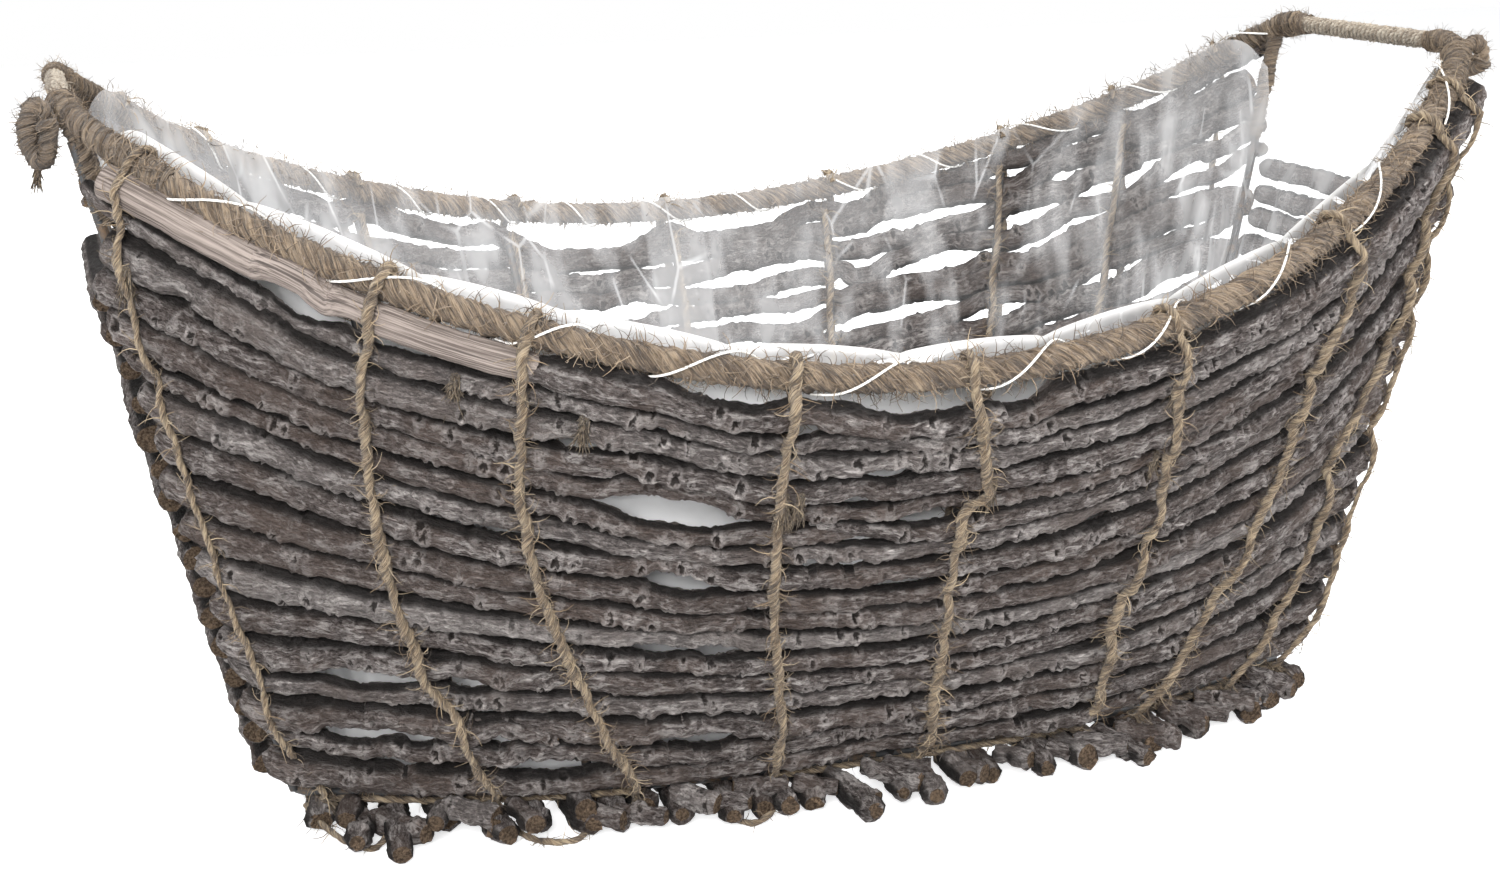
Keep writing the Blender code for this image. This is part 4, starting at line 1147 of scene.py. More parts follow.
# %% Jute and twine
def make_jute(name, dark, middle, pale, shade_depth):
    material, tree, shader = new_material(name)
    grain = kept_vector(tree)
    fibre = cloud(tree, stretch(tree, grain, (1900.0, 1900.0, 240.0)), 1.0, 5.0, 0.70)
    patch = cloud(tree, grain, 90.0, 3.0, 0.6)
    shade = plus(tree, times(tree, fibre, 0.72), times(tree, patch, 0.28))
    # Painted shade from the valleys between the plies darkens the colour, as deep as the last argument says.
    painted_shade = times(tree, kept_number(tree, "painted_shade"), shade_depth)
    colour = paint(tree, dark, (remap(tree, shade, 0.40, 0.49), middle),
                   (remap(tree, shade, 0.47, 0.57), pale), (painted_shade, dark))
    dress(tree, shader, colour, bump(tree, fibre, 0.0012), Roughness=0.9, Specular_IOR_Level=0.2,
          Sheen_Weight=0.2, Sheen_Roughness=0.6)
    return material


# The last number of each finish is how deep its painted shade goes.
JUTE = make_jute("brown_jute", (0.036, 0.022, 0.012), (0.165, 0.110, 0.062), (0.400, 0.310, 0.200), 0.88)
TAN_JUTE = make_jute("tan_jute", (0.040, 0.025, 0.014), (0.138, 0.092, 0.055), (0.312, 0.232, 0.152), 0.88)
PALE_JUTE = make_jute("pale_jute", (0.165, 0.125, 0.088), (0.430, 0.355, 0.270), (0.700, 0.620, 0.500), 0.92)
OLD_JUTE = make_jute("old_jute", (0.025, 0.016, 0.010), (0.095, 0.064, 0.040), (0.240, 0.175, 0.115), 0.80)
TWINE_SIZES = {"Step": 0.0011, "Sides": 14, "Pitch": 0.011, "Lobes": 2.0, "Depth": 0.26,
               "Hairs": 150000.0, "Hair_Length": 0.0055, "Seed": 1}


def make_strand(name, paths, material, *nodes, slot="jute", **sizes):
    """Sweep strands of jute. Sizes that aren't given are those of common twine."""
    return make_piece(name, paths, STRAND_TREE, slot, *nodes, Material=material,
                      **{**TWINE_SIZES, **sizes})


print("four jute finishes")

# %% [markdown]
# A thick rope covers the rim wire along each side. On the real basket the strand is wound on tightly, so
# it has more and shallower lobes than twine, and a long pitch.

# %% Make the rim rope
RIM_BEND = 0.014
rope_reach = 1 - RIM_BEND / RIM_HALF_LENGTH
for side, name in SIDE_NAMES.items():
    points = [rim_at(s, side) for s in steps(-rope_reach, 2 * rope_reach, 140)]
    make_strand(name + "_rim_rope", [even(points, ROPE)], TAN_JUTE, name + "_rim_wrap", Step=0.0007,
                Sides=34, Pitch=0.0250, Lobes=6.0, Depth=0.14, Seed=20 + side)

# %% [markdown]
# ## Lashings
# Each lashing climbs from a thin strand along the base ring over every stick and hooks over the rim
# rope. A drawn path would float or sink, so the twine is laid by feel: rays are cast at the wall from
# outside, the strand rests on what they meet, and it bridges the dips as taut twine does.

# %% Lay twine on the sticks
TWINE, CORNER_TWINE = 0.0040, 0.0028


def surface_of(items):
    """One search tree over the faces of several meshes."""
    vertices, faces = [], []
    for item in items:
        start = len(vertices)
        vertices += [vertex.co.copy() for vertex in item.data.vertices]
        faces += [[start + i for i in face.vertices] for face in item.data.polygons]
    return BVHTree.FromPolygons(vertices, faces)


surfaces = {side: surface_of(side_sticks[side]) for side in SIDE_NAMES}
REACH = 0.045


def stick_top(side, share, s):
    """How far the sticks' outer surface stands out of the wall here; None over a slit."""
    away = out_of_wall(s, share, side)
    origin = wall_at(s, share, side, REACH)
    hit = surfaces[side].ray_cast(origin, -away, REACH)
    return REACH - hit[3] if hit[0] else None


def tauten(heights, window, fall):
    """Lift dips the way taut twine bridges them, then ease the line."""
    lifted = []
    for i in range(len(heights)):
        near = range(max(i - window, 0), min(i + window + 1, len(heights)))
        lifted.append(max(heights[j] - fall * (i - j) ** 2 for j in near))
    return [(lifted[max(i - 1, 0)] + 2 * lifted[i] + lifted[min(i + 1, len(lifted) - 1)]) / 4
            for i in range(len(lifted))]


def laid_route(side, route, rng, sink=0.0004):
    """Points of a strand laid over the sticks along a route."""
    marks = []
    for (share_a, s_a), (share_b, s_b) in zip(route, route[1:]):
        length = (wall_at(s_b, share_b, side) - wall_at(s_a, share_a, side)).length
        count = max(round(length / 0.0013), 1)
        marks += [(share_a + (share_b - share_a) * i / count, s_a + (s_b - s_a) * i / count)
                  for i in range(count)]
    marks.append(route[-1])
    phase = rng.uniform(0, 10)
    marks = [(share, s + 0.0035 * noise.noise(Vector((share * 22, phase, 3.1)))) for share, s in marks]
    tops = [stick_top(side, share, s) for share, s in marks]
    known = [top for top in tops if top is not None]
    low = min(known) if known else 0.006
    heights = tauten([low if top is None else top for top in tops], 4, 0.00004)
    return [wall_at(s, share, side, height + TWINE / 2 - sink) for (share, s), height in zip(marks, heights)]


# %% [markdown]
# Nine lashings tie each side, one near each rib, and the real ones wander on their way up. So each of
# them is a few marks on the wall, shares of the slope and of the length, and twine is laid through them.

# %% Routes of the lashings
FOOT_SHARE, HOOK_SHARE = 0.10, 0.985


def climb(foot, *marks):
    """(share, s) marks of a lashing: from s at its foot, over marks, to s at its hook on the rim."""
    return ((FOOT_SHARE, foot), *marks[:-1], (HOOK_SHARE, marks[-1]))


LASHINGS = {
    FRONT: (
        climb(-0.955, (0.5, -0.953), (0.76, -0.948), -0.92),
        climb(-0.67, (0.21, -0.675), (0.27, -0.71), (0.48, -0.72), (0.68, -0.71), (0.82, -0.69), -0.66),
        climb(-0.43, (0.2, -0.46), (0.32, -0.49), (0.5, -0.52), (0.7, -0.53), (0.87, -0.51), -0.5),
        climb(-0.18, (0.21, -0.18), (0.54, -0.21), (0.82, -0.21), -0.2),
        climb(0.1, (0.22, 0.08), (0.53, 0.05), (0.71, 0.04), (0.76, 0.07), 0.02),
        climb(0.43, (0.17, 0.41), (0.36, 0.38), (0.59, 0.38), (0.75, 0.35), 0.31),
        climb(0.57, (0.24, 0.6), (0.48, 0.65), (0.8, 0.62), (0.86, 0.66), 0.62),
        climb(0.81, (0.28, 0.86), (0.5, 0.81), (0.64, 0.88), 0.85),
        climb(0.953, (0.5, 0.955), 0.92),
    ),
    BACK: (
        climb(-0.955, (0.5, -0.953), -0.92),
        climb(-0.79, (0.35, -0.8), (0.62, -0.82), -0.8),
        climb(-0.53, (0.3, -0.56), (0.66, -0.54), -0.55),
        climb(-0.27, (0.4, -0.29), (0.7, -0.31), -0.26),
        climb(0.04, (0.3, 0.02), (0.55, 0.05), 0.02),
        climb(0.3, (0.35, 0.33), (0.6, 0.31), 0.32),
        climb(0.58, (0.4, 0.6), (0.6, 0.62), 0.61),
        climb(0.79, (0.3, 0.8), (0.67, 0.82), 0.78),
        climb(0.953, (0.5, 0.955), 0.92),
    ),
}
print({SIDE_NAMES[side]: len(routes) for side, routes in LASHINGS.items()}, "lashings")

# %% [markdown]
# A lashing starts on the thin strand along the base ring, climbs the wall, hooks over the rope and comes
# back down inside, along its rib. Three neighbours with their share of the thin strand make one piece.

# %% Tie the lashings
def around_rim(s, side, degrees, radius):
    """Point on a ring square to the rim wire: 0 degrees faces outwards and 90 degrees up."""
    outward = out_of_wall(s, 1, side)
    upward = -side * outward.cross(along_wall(s, 1, side))
    angle = math.radians(degrees)
    return rim_at(s, side) + (outward * math.cos(angle) + upward * math.sin(angle)) * radius


def over_rim(s, side, drift=0.004):
    """The hook of a lashing over the rim rope, down to the inner side."""
    reach = ROPE / 2 + TWINE / 2 - 0.0004
    return [around_rim(s + drift * i / 10, side, 8 + 17.5 * i, reach) for i in range(11)]


BASE_TWINE, INNER_TWINE = 0.0026, 0.0030
THIRDS = ("left", "middle", "right")
LASHING_NODES = [f"{side}_{third}_lashings" for side in SIDE_NAMES.values() for third in THIRDS]
RIBS = {
    FRONT: (-1.0, -0.70, -0.50, -0.20, 0.06, 0.37, 0.63, 0.84, 1.0),
    BACK: (-1.0, -0.80, -0.55, -0.28, 0.03, 0.31, 0.61, 0.80, 1.0),
}


def inner_run(s, side, rng):
    """The part of a lashing that comes back down the inside, along its rib."""
    phase = rng.uniform(0, 9)
    points = []
    for share in steps(0.94, -0.86, 40):
        shift = 0.010 * noise.noise(Vector((share * 9, phase, 0.5)))
        points.append(wall_at(s + shift, share, side, -RIB_WIRE / 2 - INNER_TWINE / 2 + 0.0002))
    return points


def on_base_twine(s, side):
    """Centre of the thin strand that runs along the base ring."""
    point = base_at(s, side)
    point.y += side * (RING_WIRE / 2 + BASE_TWINE / 2)
    point.z = BASE_STICK + BASE_TWINE / 2
    return point


def under_foot(s, side):
    """From the thin strand on the ring, up round the lowest stick."""
    start = on_base_twine(s, side)
    return [start, start + Vector((0, side * 0.004, 0.0005)), start + Vector((0, side * 0.008, 0.0045))]


def lashing_paths(side, route, rng):
    """A lashing's way up the outside and over the rim, and the part that comes down inside."""
    points = (under_foot(route[0][1], side) + laid_route(side, route, rng)
              + over_rim(route[-1][1], side))
    full = CORNER_TWINE if abs(route[0][1]) > 0.9 else TWINE
    radii = [full / 2 * (0.88 + 0.35 * noise.noise(point * 75)) for point in points]
    radii[:3] = [BASE_TWINE / 2] * 3
    rib = min(RIBS[side], key=lambda place: abs(place - route[1][1]))
    return [(points, radii)] + ([even(inner_run(rib, side, rng), INNER_TWINE)] if abs(rib) < 1 else [])


for side, routes in LASHINGS.items():
    for third, third_name in enumerate(THIRDS):
        rng = random.Random(100 + 10 * side + third)
        part = routes[3 * third:3 * third + 3]
        paths = [path for route in part for path in lashing_paths(side, route, rng)]
        first, last = part[0][0][1], part[2][0][1]
        run = [on_base_twine(s, side) for s in steps(first, last - first, 40)]
        name = f"{SIDE_NAMES[side]}_{third_name}"
        make_strand(name + "_twine", [*paths, even(run, BASE_TWINE)], JUTE, name + "_lashings",
                    Seed=30 + 5 * side + third)

# %% [markdown]
# At each corner a thick binding covers the end of the rope, the bend and the start of the handle, and
# runs some way down the corner rib. It is a sleeve of strand whose radius swells where the real one is
# knotted. The two front corners end in a knot as well, each made of a curled length of rope.

# %% Bind the corners of the rim
X_AXIS, Z_AXIS = Vector((1, 0, 0)), Vector((0, 0, 1))
SWELLS = {
    (FRONT, LEFT): ((0.72, 0.10, 0.0012),),
    (FRONT, RIGHT): ((0.30, 0.05, 0.0010), (0.52, 0.07, 0.0018)),
    (BACK, LEFT): ((0.65, 0.12, 0.0004),),
    (BACK, RIGHT): ((0.70, 0.10, 0.0010),),
}
RIB_WRAP = {(FRONT, LEFT): 0.034, (FRONT, RIGHT): 0.020, (BACK, LEFT): 0.045, (BACK, RIGHT): 0.047}
KNOT_SIZES = {"Step": 0.0008, "Sides": 20, "Pitch": 0.007, "Depth": 0.14, "Hairs": 220000.0,
              "Hair_Length": 0.0036}
BINDING_SIZES = {"Step": 0.0007, "Sides": 24, "Pitch": 0.0062, "Depth": 0.12, "Hairs": 160000.0,
                 "Hair_Length": 0.0034}


def rim_corner(end, side):
    """The rim wire's bend from the side round to the handle."""
    finish = Vector((end * RIM_HALF_LENGTH, side * (HANDLE_HALF_WIDTH - RIM_BEND), HANDLE_HEIGHT))
    return rounded(rim_at(end * rope_reach, side), rim_at(end, side), finish, 24)


def corner_core(end, side):
    """Where a corner is bound: the last of the rope, the bend and the start of the handle."""
    before = [rim_at(end * (0.885 + 0.059 * i / 12), side) for i in range(12)]
    bend = rim_corner(end, side)
    return before + bend + [bend[-1] + Vector((0, -side * 0.001 * i, 0)) for i in range(1, 9)]


def sleeve_radii(core, swells, rng):
    """Radius along a corner's binding: a base size with swells at (place, width, height)."""
    radii = []
    for t in steps(0, 1, len(core) - 1):
        radius = 0.0047 - 0.0009 * t + 0.0003 * math.sin(9 * t + rng.uniform(0, 0.6))
        for place, width, height in swells:
            radius += height * math.exp(-((t - place) / width) ** 2)
        radii.append(radius)
    return radii


def curl(centre, across, up, turns, phase):
    """A flat loop of rope round a centre, drifting sideways as it turns."""
    drift = across.cross(up).normalized() * 0.006
    return [centre + across * math.cos(phase + 2 * math.pi * turns * i / 40)
            + up * math.sin(phase + 2 * math.pi * turns * i / 40) + drift * (i / 40)
            for i in range(41)]


def bound_rib(end, side, length):
    """The corner rib from the rim down, as far as it is wrapped."""
    top = rim_at(end, side) + Vector((-end * 0.002, -side * 0.001, -0.002))
    down = -slope_at(end, side).normalized()
    points = [top + down * length * i / 8 for i in range(9)]
    return points, [0.0032 + 0.0004 * math.sin(2.1 * i) for i in range(9)]


def knot_paths(corner, end):
    """The thick knot that ends a front corner's binding."""
    if end == LEFT:
        knot = corner + Vector((-0.0076, 0.0, -0.0062))
        ring = curl(knot, X_AXIS * 0.0029, Z_AXIS * 0.0076, 1.9, 1.2)
        stub = [knot + Vector((0.0012 - 0.0006 * i, 0.002, 0.004 - 0.0024 * i)) for i in range(7)]
        return [(ring, [0.0031 + 0.0004 * math.sin(i) for i in range(41)]),
                (stub, [0.0024, 0.0034, 0.0037, 0.0035, 0.0033, 0.0028, 0.0016])]
    knot = corner + Vector((0.0026, 0.0010, -0.0038))
    ring = curl(knot, Vector((0.0036, -0.0014, 0)), Z_AXIS * 0.0046, 1.6, 2.2)
    return [(ring, [0.0030 + 0.0003 * math.sin(i) for i in range(41)])]


for side, side_name in SIDE_NAMES.items():
    for end, end_name in END_NAMES.items():
        name, core = f"{side_name}_{end_name}", corner_core(end, side)
        radii = sleeve_radii(core, SWELLS[side, end], random.Random(7 * side + end))
        if side == FRONT:
            make_strand(name + "_knot", knot_paths(rim_at(end, side), end),
                        OLD_JUTE if end == LEFT else TAN_JUTE, name + "_corner_lashing",
                        **KNOT_SIZES, Seed=70 + end)
        make_strand(name + "_binding", [(core, radii), bound_rib(end, side, RIB_WRAP[side, end])],
                    TAN_JUTE, name + "_corner_lashing", **BINDING_SIZES, Seed=50 + 3 * side + end)

# %% [markdown]
# Jute frays where it is cut or knotted. A tuft is a few dozen single fibres, each a thin tapering path
# that starts near the same spot and leans its own way, so it can come from the same tree as the twine.

# %% Frayed ends
TUFTS = (
    (-0.205, 0.79, 90, 0.0034), (-0.185, 0.79, 60, 0.0026), (0.075, 0.785, 60, 0.0026),
    (-0.44, 0.89, 60, 0.0032), (-0.58, 0.91, 50, 0.0040), (-0.93, 0.87, 40, 0.0038),
    (0.34, 0.74, 40, 0.0024), (0.63, 0.80, 40, 0.0026),
)


def fray(foot, run, length, spread, count, rng):
    """Loose fibres that fan out from one place."""
    tuft = []
    for _ in range(count):
        start = foot + Vector([rng.uniform(-1, 1) * spread * 0.35 for _ in range(3)])
        lean = Vector([rng.uniform(-1, 1) * spread for _ in range(3)])
        reach = length * rng.uniform(0.5, 1.1)
        fibre = [start + run * reach * t + lean * t * t for t in (0.0, 0.35, 0.7, 1.0)]
        tuft.append((fibre, [0.00040, 0.00036, 0.00026, 0.00010]))
    return tuft


def frayed_ends():
    """A tuft at the knot, at each place in the list, and at the foot of every lashing."""
    rng = random.Random(33)
    knot = rim_at(LEFT, FRONT) + Vector((-0.0085, 0, -0.0165))
    tufts = fray(knot, Vector((-0.15, 0, -1)), 0.0085, 0.0018, 34, rng)
    for s, share, count, spread in TUFTS:
        out = (stick_top(FRONT, share, s) or 0.010) + 0.0006
        tufts += fray(wall_at(s, share, FRONT, out), -UP_THE_WALL[FRONT], 0.012, spread, count, rng)
    for side, routes in LASHINGS.items():
        for route in routes:
            foot = base_at(route[0][1], side) + Vector((0, side * 0.007, 0.001))
            run = Vector((rng.uniform(-0.6, 0.9), side * 0.7, -0.35)).normalized()
            tufts += fray(foot, run, 0.009, 0.0028, 16, rng)
    return tufts


tufts = frayed_ends()
make_strand("frayed_ends", tufts, JUTE, *LASHING_NODES, Step=0.002, Sides=4, Depth=0.0, Hairs=0.0,
            Seed=60)
print(len(tufts), "loose fibres")

# %% [markdown]
# Thin twine binds the ends of the base sticks to each other. It shows as short loops under the front
# edge, which hug the sticks and go back between them. Each loop is a few marks: the place along the
# edge, how far it stands out from the edge and its height. A smooth path joins them.

# %% Bind the ends of the base sticks
BASE_LOOPS = (
    ((-0.985, 0.004, 0.0080), (-0.955, 0.013, 0.0030), (-0.920, 0.021, 0.0014), (-0.885, 0.023, 0.0014),
     (-0.850, 0.014, 0.0045)),
    ((-0.660, 0.008, 0.0045), (-0.620, 0.016, 0.0014), (-0.580, 0.020, 0.0014), (-0.540, 0.018, 0.0016),
     (-0.500, 0.008, 0.0045)),
    ((-0.280, 0.010, 0.0030), (-0.240, 0.019, 0.0014), (-0.200, 0.018, 0.0040), (-0.170, 0.010, 0.0085)),
)
loops = []
for marks in BASE_LOOPS:
    points = [base_at(s, FRONT) + Vector((0, -reach, 0)) for s, reach, _ in marks]
    for point, (_, _, height) in zip(points, marks):
        point.z = height
    loops.append(smooth_path(points, [0.0012] * len(points), 0.002))
make_strand("base_twine", loops, JUTE, "front_left_lashings", Seed=61)
print(len(loops), "loops of base twine")

# %% [markdown]
# The handles are the same wire as the rim. A pale strand is wound round each of them, turn against turn,
# so the winding hides the wire. It is one helix, and its turns shade each other's flanks.

# %% Wind the handles
HANDLE_STRAND, HANDLE_TURNS, TURN_RADIUS = 0.0029, 34, 0.0022
handle_half = HANDLE_HALF_WIDTH - RIM_BEND - 0.003


def wound(core, turns, radius, rng, points_per_turn=12, wobble=0.0002):
    """A helix round a core line."""
    lengths = [0.0]
    for first, second in zip(core, core[1:]):
        lengths.append(lengths[-1] + (second - first).length)
    count = int(turns * points_per_turn)
    points = []
    for i in range(count + 1):
        angle = 2 * math.pi * i / points_per_turn
        want = clamp(lengths[-1] * i / count, 0.0, lengths[-1])
        k = next(k for k in range(len(core) - 1) if want <= lengths[k + 1] + 1e-9)
        centre = core[k].lerp(core[k + 1], (want - lengths[k]) / (lengths[k + 1] - lengths[k]))
        across = (core[k + 1] - core[k]).normalized().cross(Z_AXIS).normalized()
        upward = across.cross((core[k + 1] - core[k]).normalized())
        reach = radius + wobble * rng.uniform(-1, 1)
        points.append(centre + (across * math.cos(angle) + upward * math.sin(angle)) * reach)
    return points


for end, name in END_NAMES.items():
    core = [Vector((end * RIM_HALF_LENGTH, y, HANDLE_HEIGHT))
            for y in steps(-handle_half, 2 * handle_half, 20)]
    points = wound(core, HANDLE_TURNS, TURN_RADIUS, random.Random(80 + end))
    # Stack along the handle, so the flanks where the turns meet get painted shade.
    make_strand(name + "_handle_strand", [even(points, HANDLE_STRAND)], PALE_JUTE,
                name + "_handle_winding", slot="pale_jute", Step=0.0009, Sides=10, Pitch=0.006,
                Depth=0.06, Stack=(0.0, 1.0, 0.0), Hairs=16000.0, Hair_Length=0.003, Seed=90 + end)

# %% [markdown]
# ## Wire cage
# The rim wire and the ribs are dull dark steel. The sticks hide most of them, but the ribs show through
# the film from inside. The frame's wires are straight between bends, so smooth ones take their place.

# %% Make the wires
LOOP_REACH = 0.944


def make_wire_tree():
    tree, ins = start_tree("round_wire", Step="Float", Sides="Int", Seed="Float", Material="Material")
    mesh, facts = sweep(tree, ins)
    mesh = store(tree, mesh, "grain", grain_of(tree, facts, ins["Seed"]), "FLOAT_VECTOR")
    mesh = add(tree, "GeometryNodeSetShadeSmooth", {"Geometry": mesh})
    return end_tree(tree, mesh, ins["Material"])


def make_steel():
    material, tree, shader = new_material("dull_wire")
    blotch = cloud(tree, kept_vector(tree), 260.0, 4.0, 0.6)
    colour = paint(tree, (0.055, 0.056, 0.058), (remap(tree, blotch, 0.45, 0.70), (0.16, 0.105, 0.065)))
    tree.links.new(remap(tree, blotch, 0.3, 0.7, 0.42, 0.75).outputs[0], shader.inputs["Roughness"])
    dress(tree, shader, colour, bump(tree, blotch, 0.0003, 0.5), Metallic=0.55)
    return material


WIRE_TREE, STEEL = make_wire_tree(), make_steel()


def loop_of(point_at, corner_at):
    """A closed line round the basket: both sides with the four corners between them."""
    reach = steps(-LOOP_REACH, 2 * LOOP_REACH, 60)
    front = [point_at(s, FRONT) for s in reach]
    back = [point_at(s, BACK) for s in reversed(reach)]
    return (front + corner_at(RIGHT, FRONT) + corner_at(RIGHT, BACK)[::-1] + back
            + corner_at(LEFT, BACK) + corner_at(LEFT, FRONT)[::-1] + [front[0]])


def ring_corner(end, side):
    """The base ring's bend from the side round to the end."""
    corner = base_at(end, side)
    return rounded(base_at(end * 0.97, side), corner, corner + Vector((0, -side * 0.006, 0)), 6)


def rib_line(s, side):
    top = 0.93 if abs(s) < 1 else 0.96
    return [wall_at(s, share, side) for share in steps(0, top, 4)]


cage_paths = [even(loop_of(base_at, ring_corner), RING_WIRE)]
cage_paths += [even(rib_line(s, side), RIB_WIRE) for side in SIDE_NAMES for s in RIBS[side]]
for name, paths, node, seed in (
        ("rim_steel", [even(loop_of(rim_at, rim_corner), RIM_WIRE)], "rim_wire", 3.0),
        ("cage_steel", cage_paths, "base_ring_with_ribs", 5.0)):
    make_piece(name, paths, WIRE_TREE, "wire", node, Step=0.003, Sides=12, Material=STEEL, Seed=seed)

# %% [markdown]
# ## Film lining
# A bag of clear film lines the basket. Its upper edge is turned over as a cuff inside the rim rope, and
# at the ends it drops under the hand gaps. It is thin and milky, with many sharp creases where it was
# folded and gathered. White thread holds its edge, so the places of the stitches come first.

# %% Places of the stitches
STITCH_STEP = {FRONT: 0.046, BACK: 0.040}


def stitch_places(side):
    """Where along the rim the thread starts each turn round the rope."""
    rng = random.Random(300 + side)
    places = [-0.90]
    while places[-1] < 0.87:
        places.append(places[-1] + STITCH_STEP[side] * rng.uniform(0.8, 1.2) / RIM_HALF_LENGTH)
    return places


STITCHES = {side: stitch_places(side) for side in SIDE_NAMES}


def arch(s, side):
    """How free the film's edge is: 0 where the thread pins it, 1 half way between two stitches."""
    places = STITCHES[side]
    k = clamp(sum(place <= s for place in places) - 1, 0, len(places) - 2)
    share = (s - places[k]) / (places[k + 1] - places[k])
    return abs(math.cos(math.pi * share)) ** 0.6


print({SIDE_NAMES[side]: len(STITCHES[side]) - 1 for side in SIDE_NAMES}, "stitches")

# %% [markdown]
# The bag is built in columns of points from its foot to its edge, side by side all the way round. Each
# point lies just inside the wall, moved inwards by the folds: slow waves everywhere, and deep pleats
# where the film is gathered at the corners. The thread pins the upper edge, which arches between the
# stitches. A number on each point tells how milky and white the film is. Where the film is gathered or
# doubled, that is its own milkiness. The front wall and the cuff are made milky and white as painted
# light, for the light that shines through the film at the slits, and the back stays mostly clear.

# %% Form of the bag
FILM_ENDS_TOP = 0.201
CUFF_LIFT = {FRONT: (0.0036, 0.0030), BACK: (0.0036, 0.0010)}
SIDE_COLUMNS, END_COLUMNS, FILM_LEVELS, FLOOR_RINGS = 230, 44, 60, 10
DOUBLED = (-0.03, 0.085)
# The wall and edge values are painted light: they make the front wall and the cuff white and milky as if lit
# from behind; at the edge the doubled film adds its own milkiness.
CUFF_START, WALL_BACKLIGHT, EDGE_HAZE_AND_BACKLIGHT = 0.95, 0.92, 0.95
FILM_FLOOR = BASE_STICK + 0.0008


def bag_columns():
    """Where the bag's columns of points stand, all the way round."""
    front = [("side", s, FRONT) for s in steps(-0.985, 1.97, SIDE_COLUMNS)]
    right = [("end", y, RIGHT) for y in steps(-0.94, 1.88, END_COLUMNS)[1:-1]]
    back = [("side", s, BACK) for s in steps(0.985, -1.97, SIDE_COLUMNS)]
    left = [("end", y, LEFT) for y in steps(0.94, -1.88, END_COLUMNS)[1:-1]]
    return front + right + back + left


def gathered(column):
    """How much the film is bunched here, from 0 in the middle of a side to 1 at the corners."""
    kind, place, _ = column
    return 0.55 + 0.45 * abs(place) if kind == "end" else clamp((abs(place) - 0.62) / 0.30)


def folds(column, share):
    """Depth of the film's folds here: slow waves everywhere and pleats where it is gathered."""
    kind, place, way = column
    run = place * (0.23 if kind == "side" else 0.055) + way * 3.0
    slow = noise.noise(Vector((run * 26, share * 2.2, way * 5.0)))
    slant = run * 130 + share * 3.0 * way
    pleat = abs(noise.noise(Vector((slant, share * 1.4, 9.0 + way)))) ** 0.7
    crumple = noise.fractal(Vector((run * 110, share * 16, way * 3.0)), 0.7, 2.1, 3)
    depth = 0.0022 * (slow + 0.6) + 0.0075 * gathered(column) * pleat + 0.0004 * crumple
    return depth * min(1, 6 * share, 9 * (1 - share) + 0.05)


def bag_point(column, share):
    """Point of the bag, a share of the way from its foot to its upper edge."""
    kind, place, way = column
    inset = 0.0050 + 0.005 * (1 - share) ** 2 + max(folds(column, share), 0.0)
    if kind == "side":
        near_corner = clamp((abs(place) - 0.93) / 0.055)
        inset += 0.020 * max((abs(place) - 0.80) / 0.2, 0.0) * math.sin(math.pi * share) ** 2
        point = wall_at(place, share * (1.0 - 0.05 * near_corner**2), way, -inset - 0.0008 * share)
        low, free = CUFF_LIFT[way]
        point.z += (low + free * arch(place, way)) * share**10 * (1 - near_corner)
    else:
        rise = max((abs(place) - 0.45) / 0.49, 0.0) ** 2
        top = FILM_ENDS_TOP + (0.93 * HANDLE_HEIGHT + 0.004 - FILM_ENDS_TOP) * rise
        height = share * end_slope * (top - RING_Z) / (HANDLE_HEIGHT - RING_Z)
        point = end_at(place, height, way, -inset)
    point.z = max(point.z, FILM_FLOOR)
    return point


def haze_and_backlight_at(column, share):
    """How milky and white the bag is at a point: its own milkiness where gathered or doubled, and painted
    backlight on the front wall and the cuff.
    """
    kind, place, way = column
    ripple = 0.5 + 0.5 * noise.noise(Vector((place * 60, share * 3, way * 2.0)))
    bunched = 0.16 * gathered(column) * ripple
    turned_over = clamp((share - CUFF_START - 0.005) / 0.02)
    if kind == "end":
        return max(0.10 * turned_over, bunched) + (0.03 if way == LEFT else 0.0)
    far_left = 0.05 * clamp((-0.18 - place) / 0.40)
    if way == BACK:
        doubled = 0.16 if DOUBLED[0] < place < DOUBLED[1] else 0.0
        return max(bunched, doubled) + far_left - 0.07 * clamp((place - 0.15) / 0.40)
    # Front wall and cuff: painted backlight, with the doubled film's own milkiness at the edge.
    if share == 1:
        milk_and_backlight = EDGE_HAZE_AND_BACKLIGHT
    elif share < CUFF_START:
        milk_and_backlight = WALL_BACKLIGHT
    else:
        milk_and_backlight = 0.42 * turned_over
    return max(milk_and_backlight, bunched) + far_left


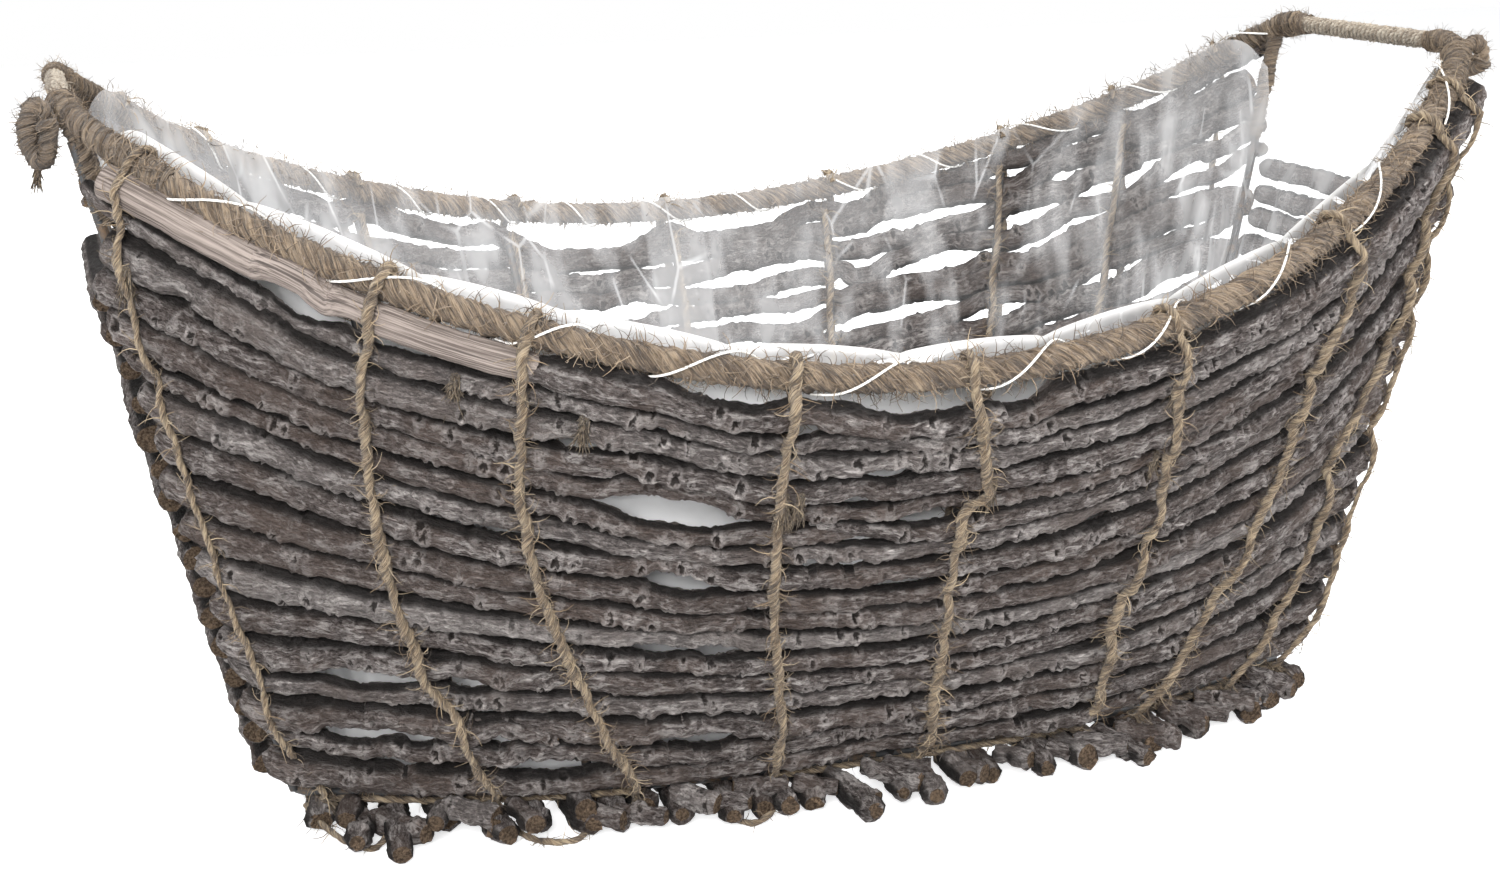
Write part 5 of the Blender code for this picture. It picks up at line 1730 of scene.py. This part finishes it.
def make_film():
    """The bag's walls from its columns, and a floor of rings that shrink to its middle."""
    columns = bag_columns()
    count, row = len(columns), FILM_LEVELS + 1
    levels = steps(0, 1, FILM_LEVELS)
    vertices = [bag_point(column, share) for column in columns for share in levels]
    haze_and_backlight = [haze_and_backlight_at(column, share) for column in columns for share in levels]
    following = [(c + 1) % count for c in range(count)]
    faces = [(c * row + k, d * row + k, d * row + k + 1, c * row + k + 1)
             for c, d in enumerate(following) for k in range(FILM_LEVELS)]
    outer = feet = [c * row for c in range(count)]
    for ring in range(1, FLOOR_RINGS):
        inward = 1 - ring / FLOOR_RINGS
        inner = list(range(len(vertices), len(vertices) + count))
        vertices += [Vector((vertices[foot].x * inward, vertices[foot].y * inward, vertices[foot].z))
                     for foot in feet]
        faces += [(outer[d], outer[c], inner[c], inner[d]) for c, d in enumerate(following)]
        outer = inner
    vertices.append(Vector((0, 0, FILM_FLOOR)))
    faces += [(outer[d], outer[c], len(vertices) - 1) for c, d in enumerate(following)]
    haze_and_backlight += [0.0] * (len(vertices) - len(haze_and_backlight))
    mesh = bpy.data.meshes.new("film_bag")
    mesh.from_pydata([tuple(vertex) for vertex in vertices], [], faces)
    mesh.polygons.foreach_set("use_smooth", [True] * len(mesh.polygons))
    mesh.attributes.new("haze_and_backlight", "FLOAT", "POINT").data.foreach_set("value", haze_and_backlight)
    item = bpy.data.objects.new("film_bag", mesh)
    bpy.context.scene.collection.objects.link(item)
    return item


film = make_film()
film_area = sum(face.area for face in film.data.polygons)
print("film of", round(film_area, 3), "square metres")

# %% [markdown]
# Clear film is mostly seen by its gloss and its creases. So the shader's alpha carries the pattern: a
# cloudy ground, soft streaks, sharp creases where cells meet, and the milkiness that the mesh carries,
# which is partly painted backlight. The film is glossy but not a mirror.

# %% Film material
def make_film_material():
    material, tree, shader = new_material("clear_film")
    place = add(tree, "ShaderNodeTexCoord").outputs["Object"]
    streak = cloud(tree, stretch(tree, place, (70.0, 70.0, 9.0)), 1.0, 2.0, 0.50)
    cells = add(tree, "ShaderNodeTexVoronoi", {
        "Vector": stretch(tree, place, (42.0, 42.0, 15.0)), "Scale": 1.0}, feature="DISTANCE_TO_EDGE")
    rare = remap(tree, cloud(tree, place, 30.0, 2.0), 0.50, 0.66)
    crease = times(tree, remap(tree, cells.outputs["Distance"], 0.035, 0.0), rare, 0.22)
    soft = remap(tree, streak, 0.44, 0.66, 0.0, 0.16)
    ground = remap(tree, cloud(tree, place, 16.0, 3.0, 0.6), 0.34, 0.66, 0.07, 0.19)
    haze_and_backlight = kept_number(tree, "haze_and_backlight")
    alpha = plus(tree, plus(tree, ground, soft), plus(tree, crease, haze_and_backlight))
    alpha = calc(tree, "MINIMUM", alpha, 0.96)
    # Whiter where the film is milky; on the front wall and the cuff that whiteness is painted backlight.
    colour = paint(tree, (0.80, 0.80, 0.805), (remap(tree, haze_and_backlight, 0.40, 0.85), (0.97, 0.97, 0.97)))
    tree.links.new(alpha.outputs[0], shader.inputs["Alpha"])
    dress(tree, shader, colour, bump(tree, streak, 0.003, 0.35), Roughness=0.30)
    return material


film.data.materials.append(make_film_material())
settle(film, "film", "liner")

# %% [markdown]
# A white thread goes round and round the rope and through the film's edge. It runs as one line per side,
# one turn for each stitch, and stands off the rope a little, since it isn't pulled quite tight.

# %% Whip the film to the rim
THREAD = 0.0008
TURN_START, TURN_POINTS = -60, 28


def make_thread():
    material, tree, shader = new_material("white_thread")
    ply = add(tree, "ShaderNodeTexWave", {"Vector": kept_vector(tree), "Scale": 300.0, "Distortion": 1.0},
              bands_direction="DIAGONAL").outputs["Fac"]
    colour = paint(tree, (0.66, 0.64, 0.60), (ply, (0.86, 0.85, 0.82)))
    dress(tree, shader, colour, bump(tree, ply, 0.0003, 0.5), Roughness=0.7)
    return material


def thread_line(side):
    """The thread's turns round the rope."""
    rng = random.Random(310 + side)
    points = []
    for start, stop in zip(STITCHES[side], STITCHES[side][1:]):
        slack = rng.uniform(0.0002, 0.0009)
        for i in range(TURN_POINTS):
            lift = 0.0006 * max(math.sin(math.radians(-150 + 360 * i / TURN_POINTS)), 0)
            points.append(around_rim(start + (stop - start) * i / TURN_POINTS, side,
                                     TURN_START + 360 * i / TURN_POINTS,
                                     ROPE / 2 + THREAD * 0.5 + slack + lift))
    return points


WHITE_THREAD = make_thread()
for side, name in SIDE_NAMES.items():
    make_piece(name + "_thread_whip", [even(thread_line(side), THREAD)], WIRE_TREE, "thread",
               name + "_stitching", Step=0.0012, Sides=8, Seed=1.0, Material=WHITE_THREAD)
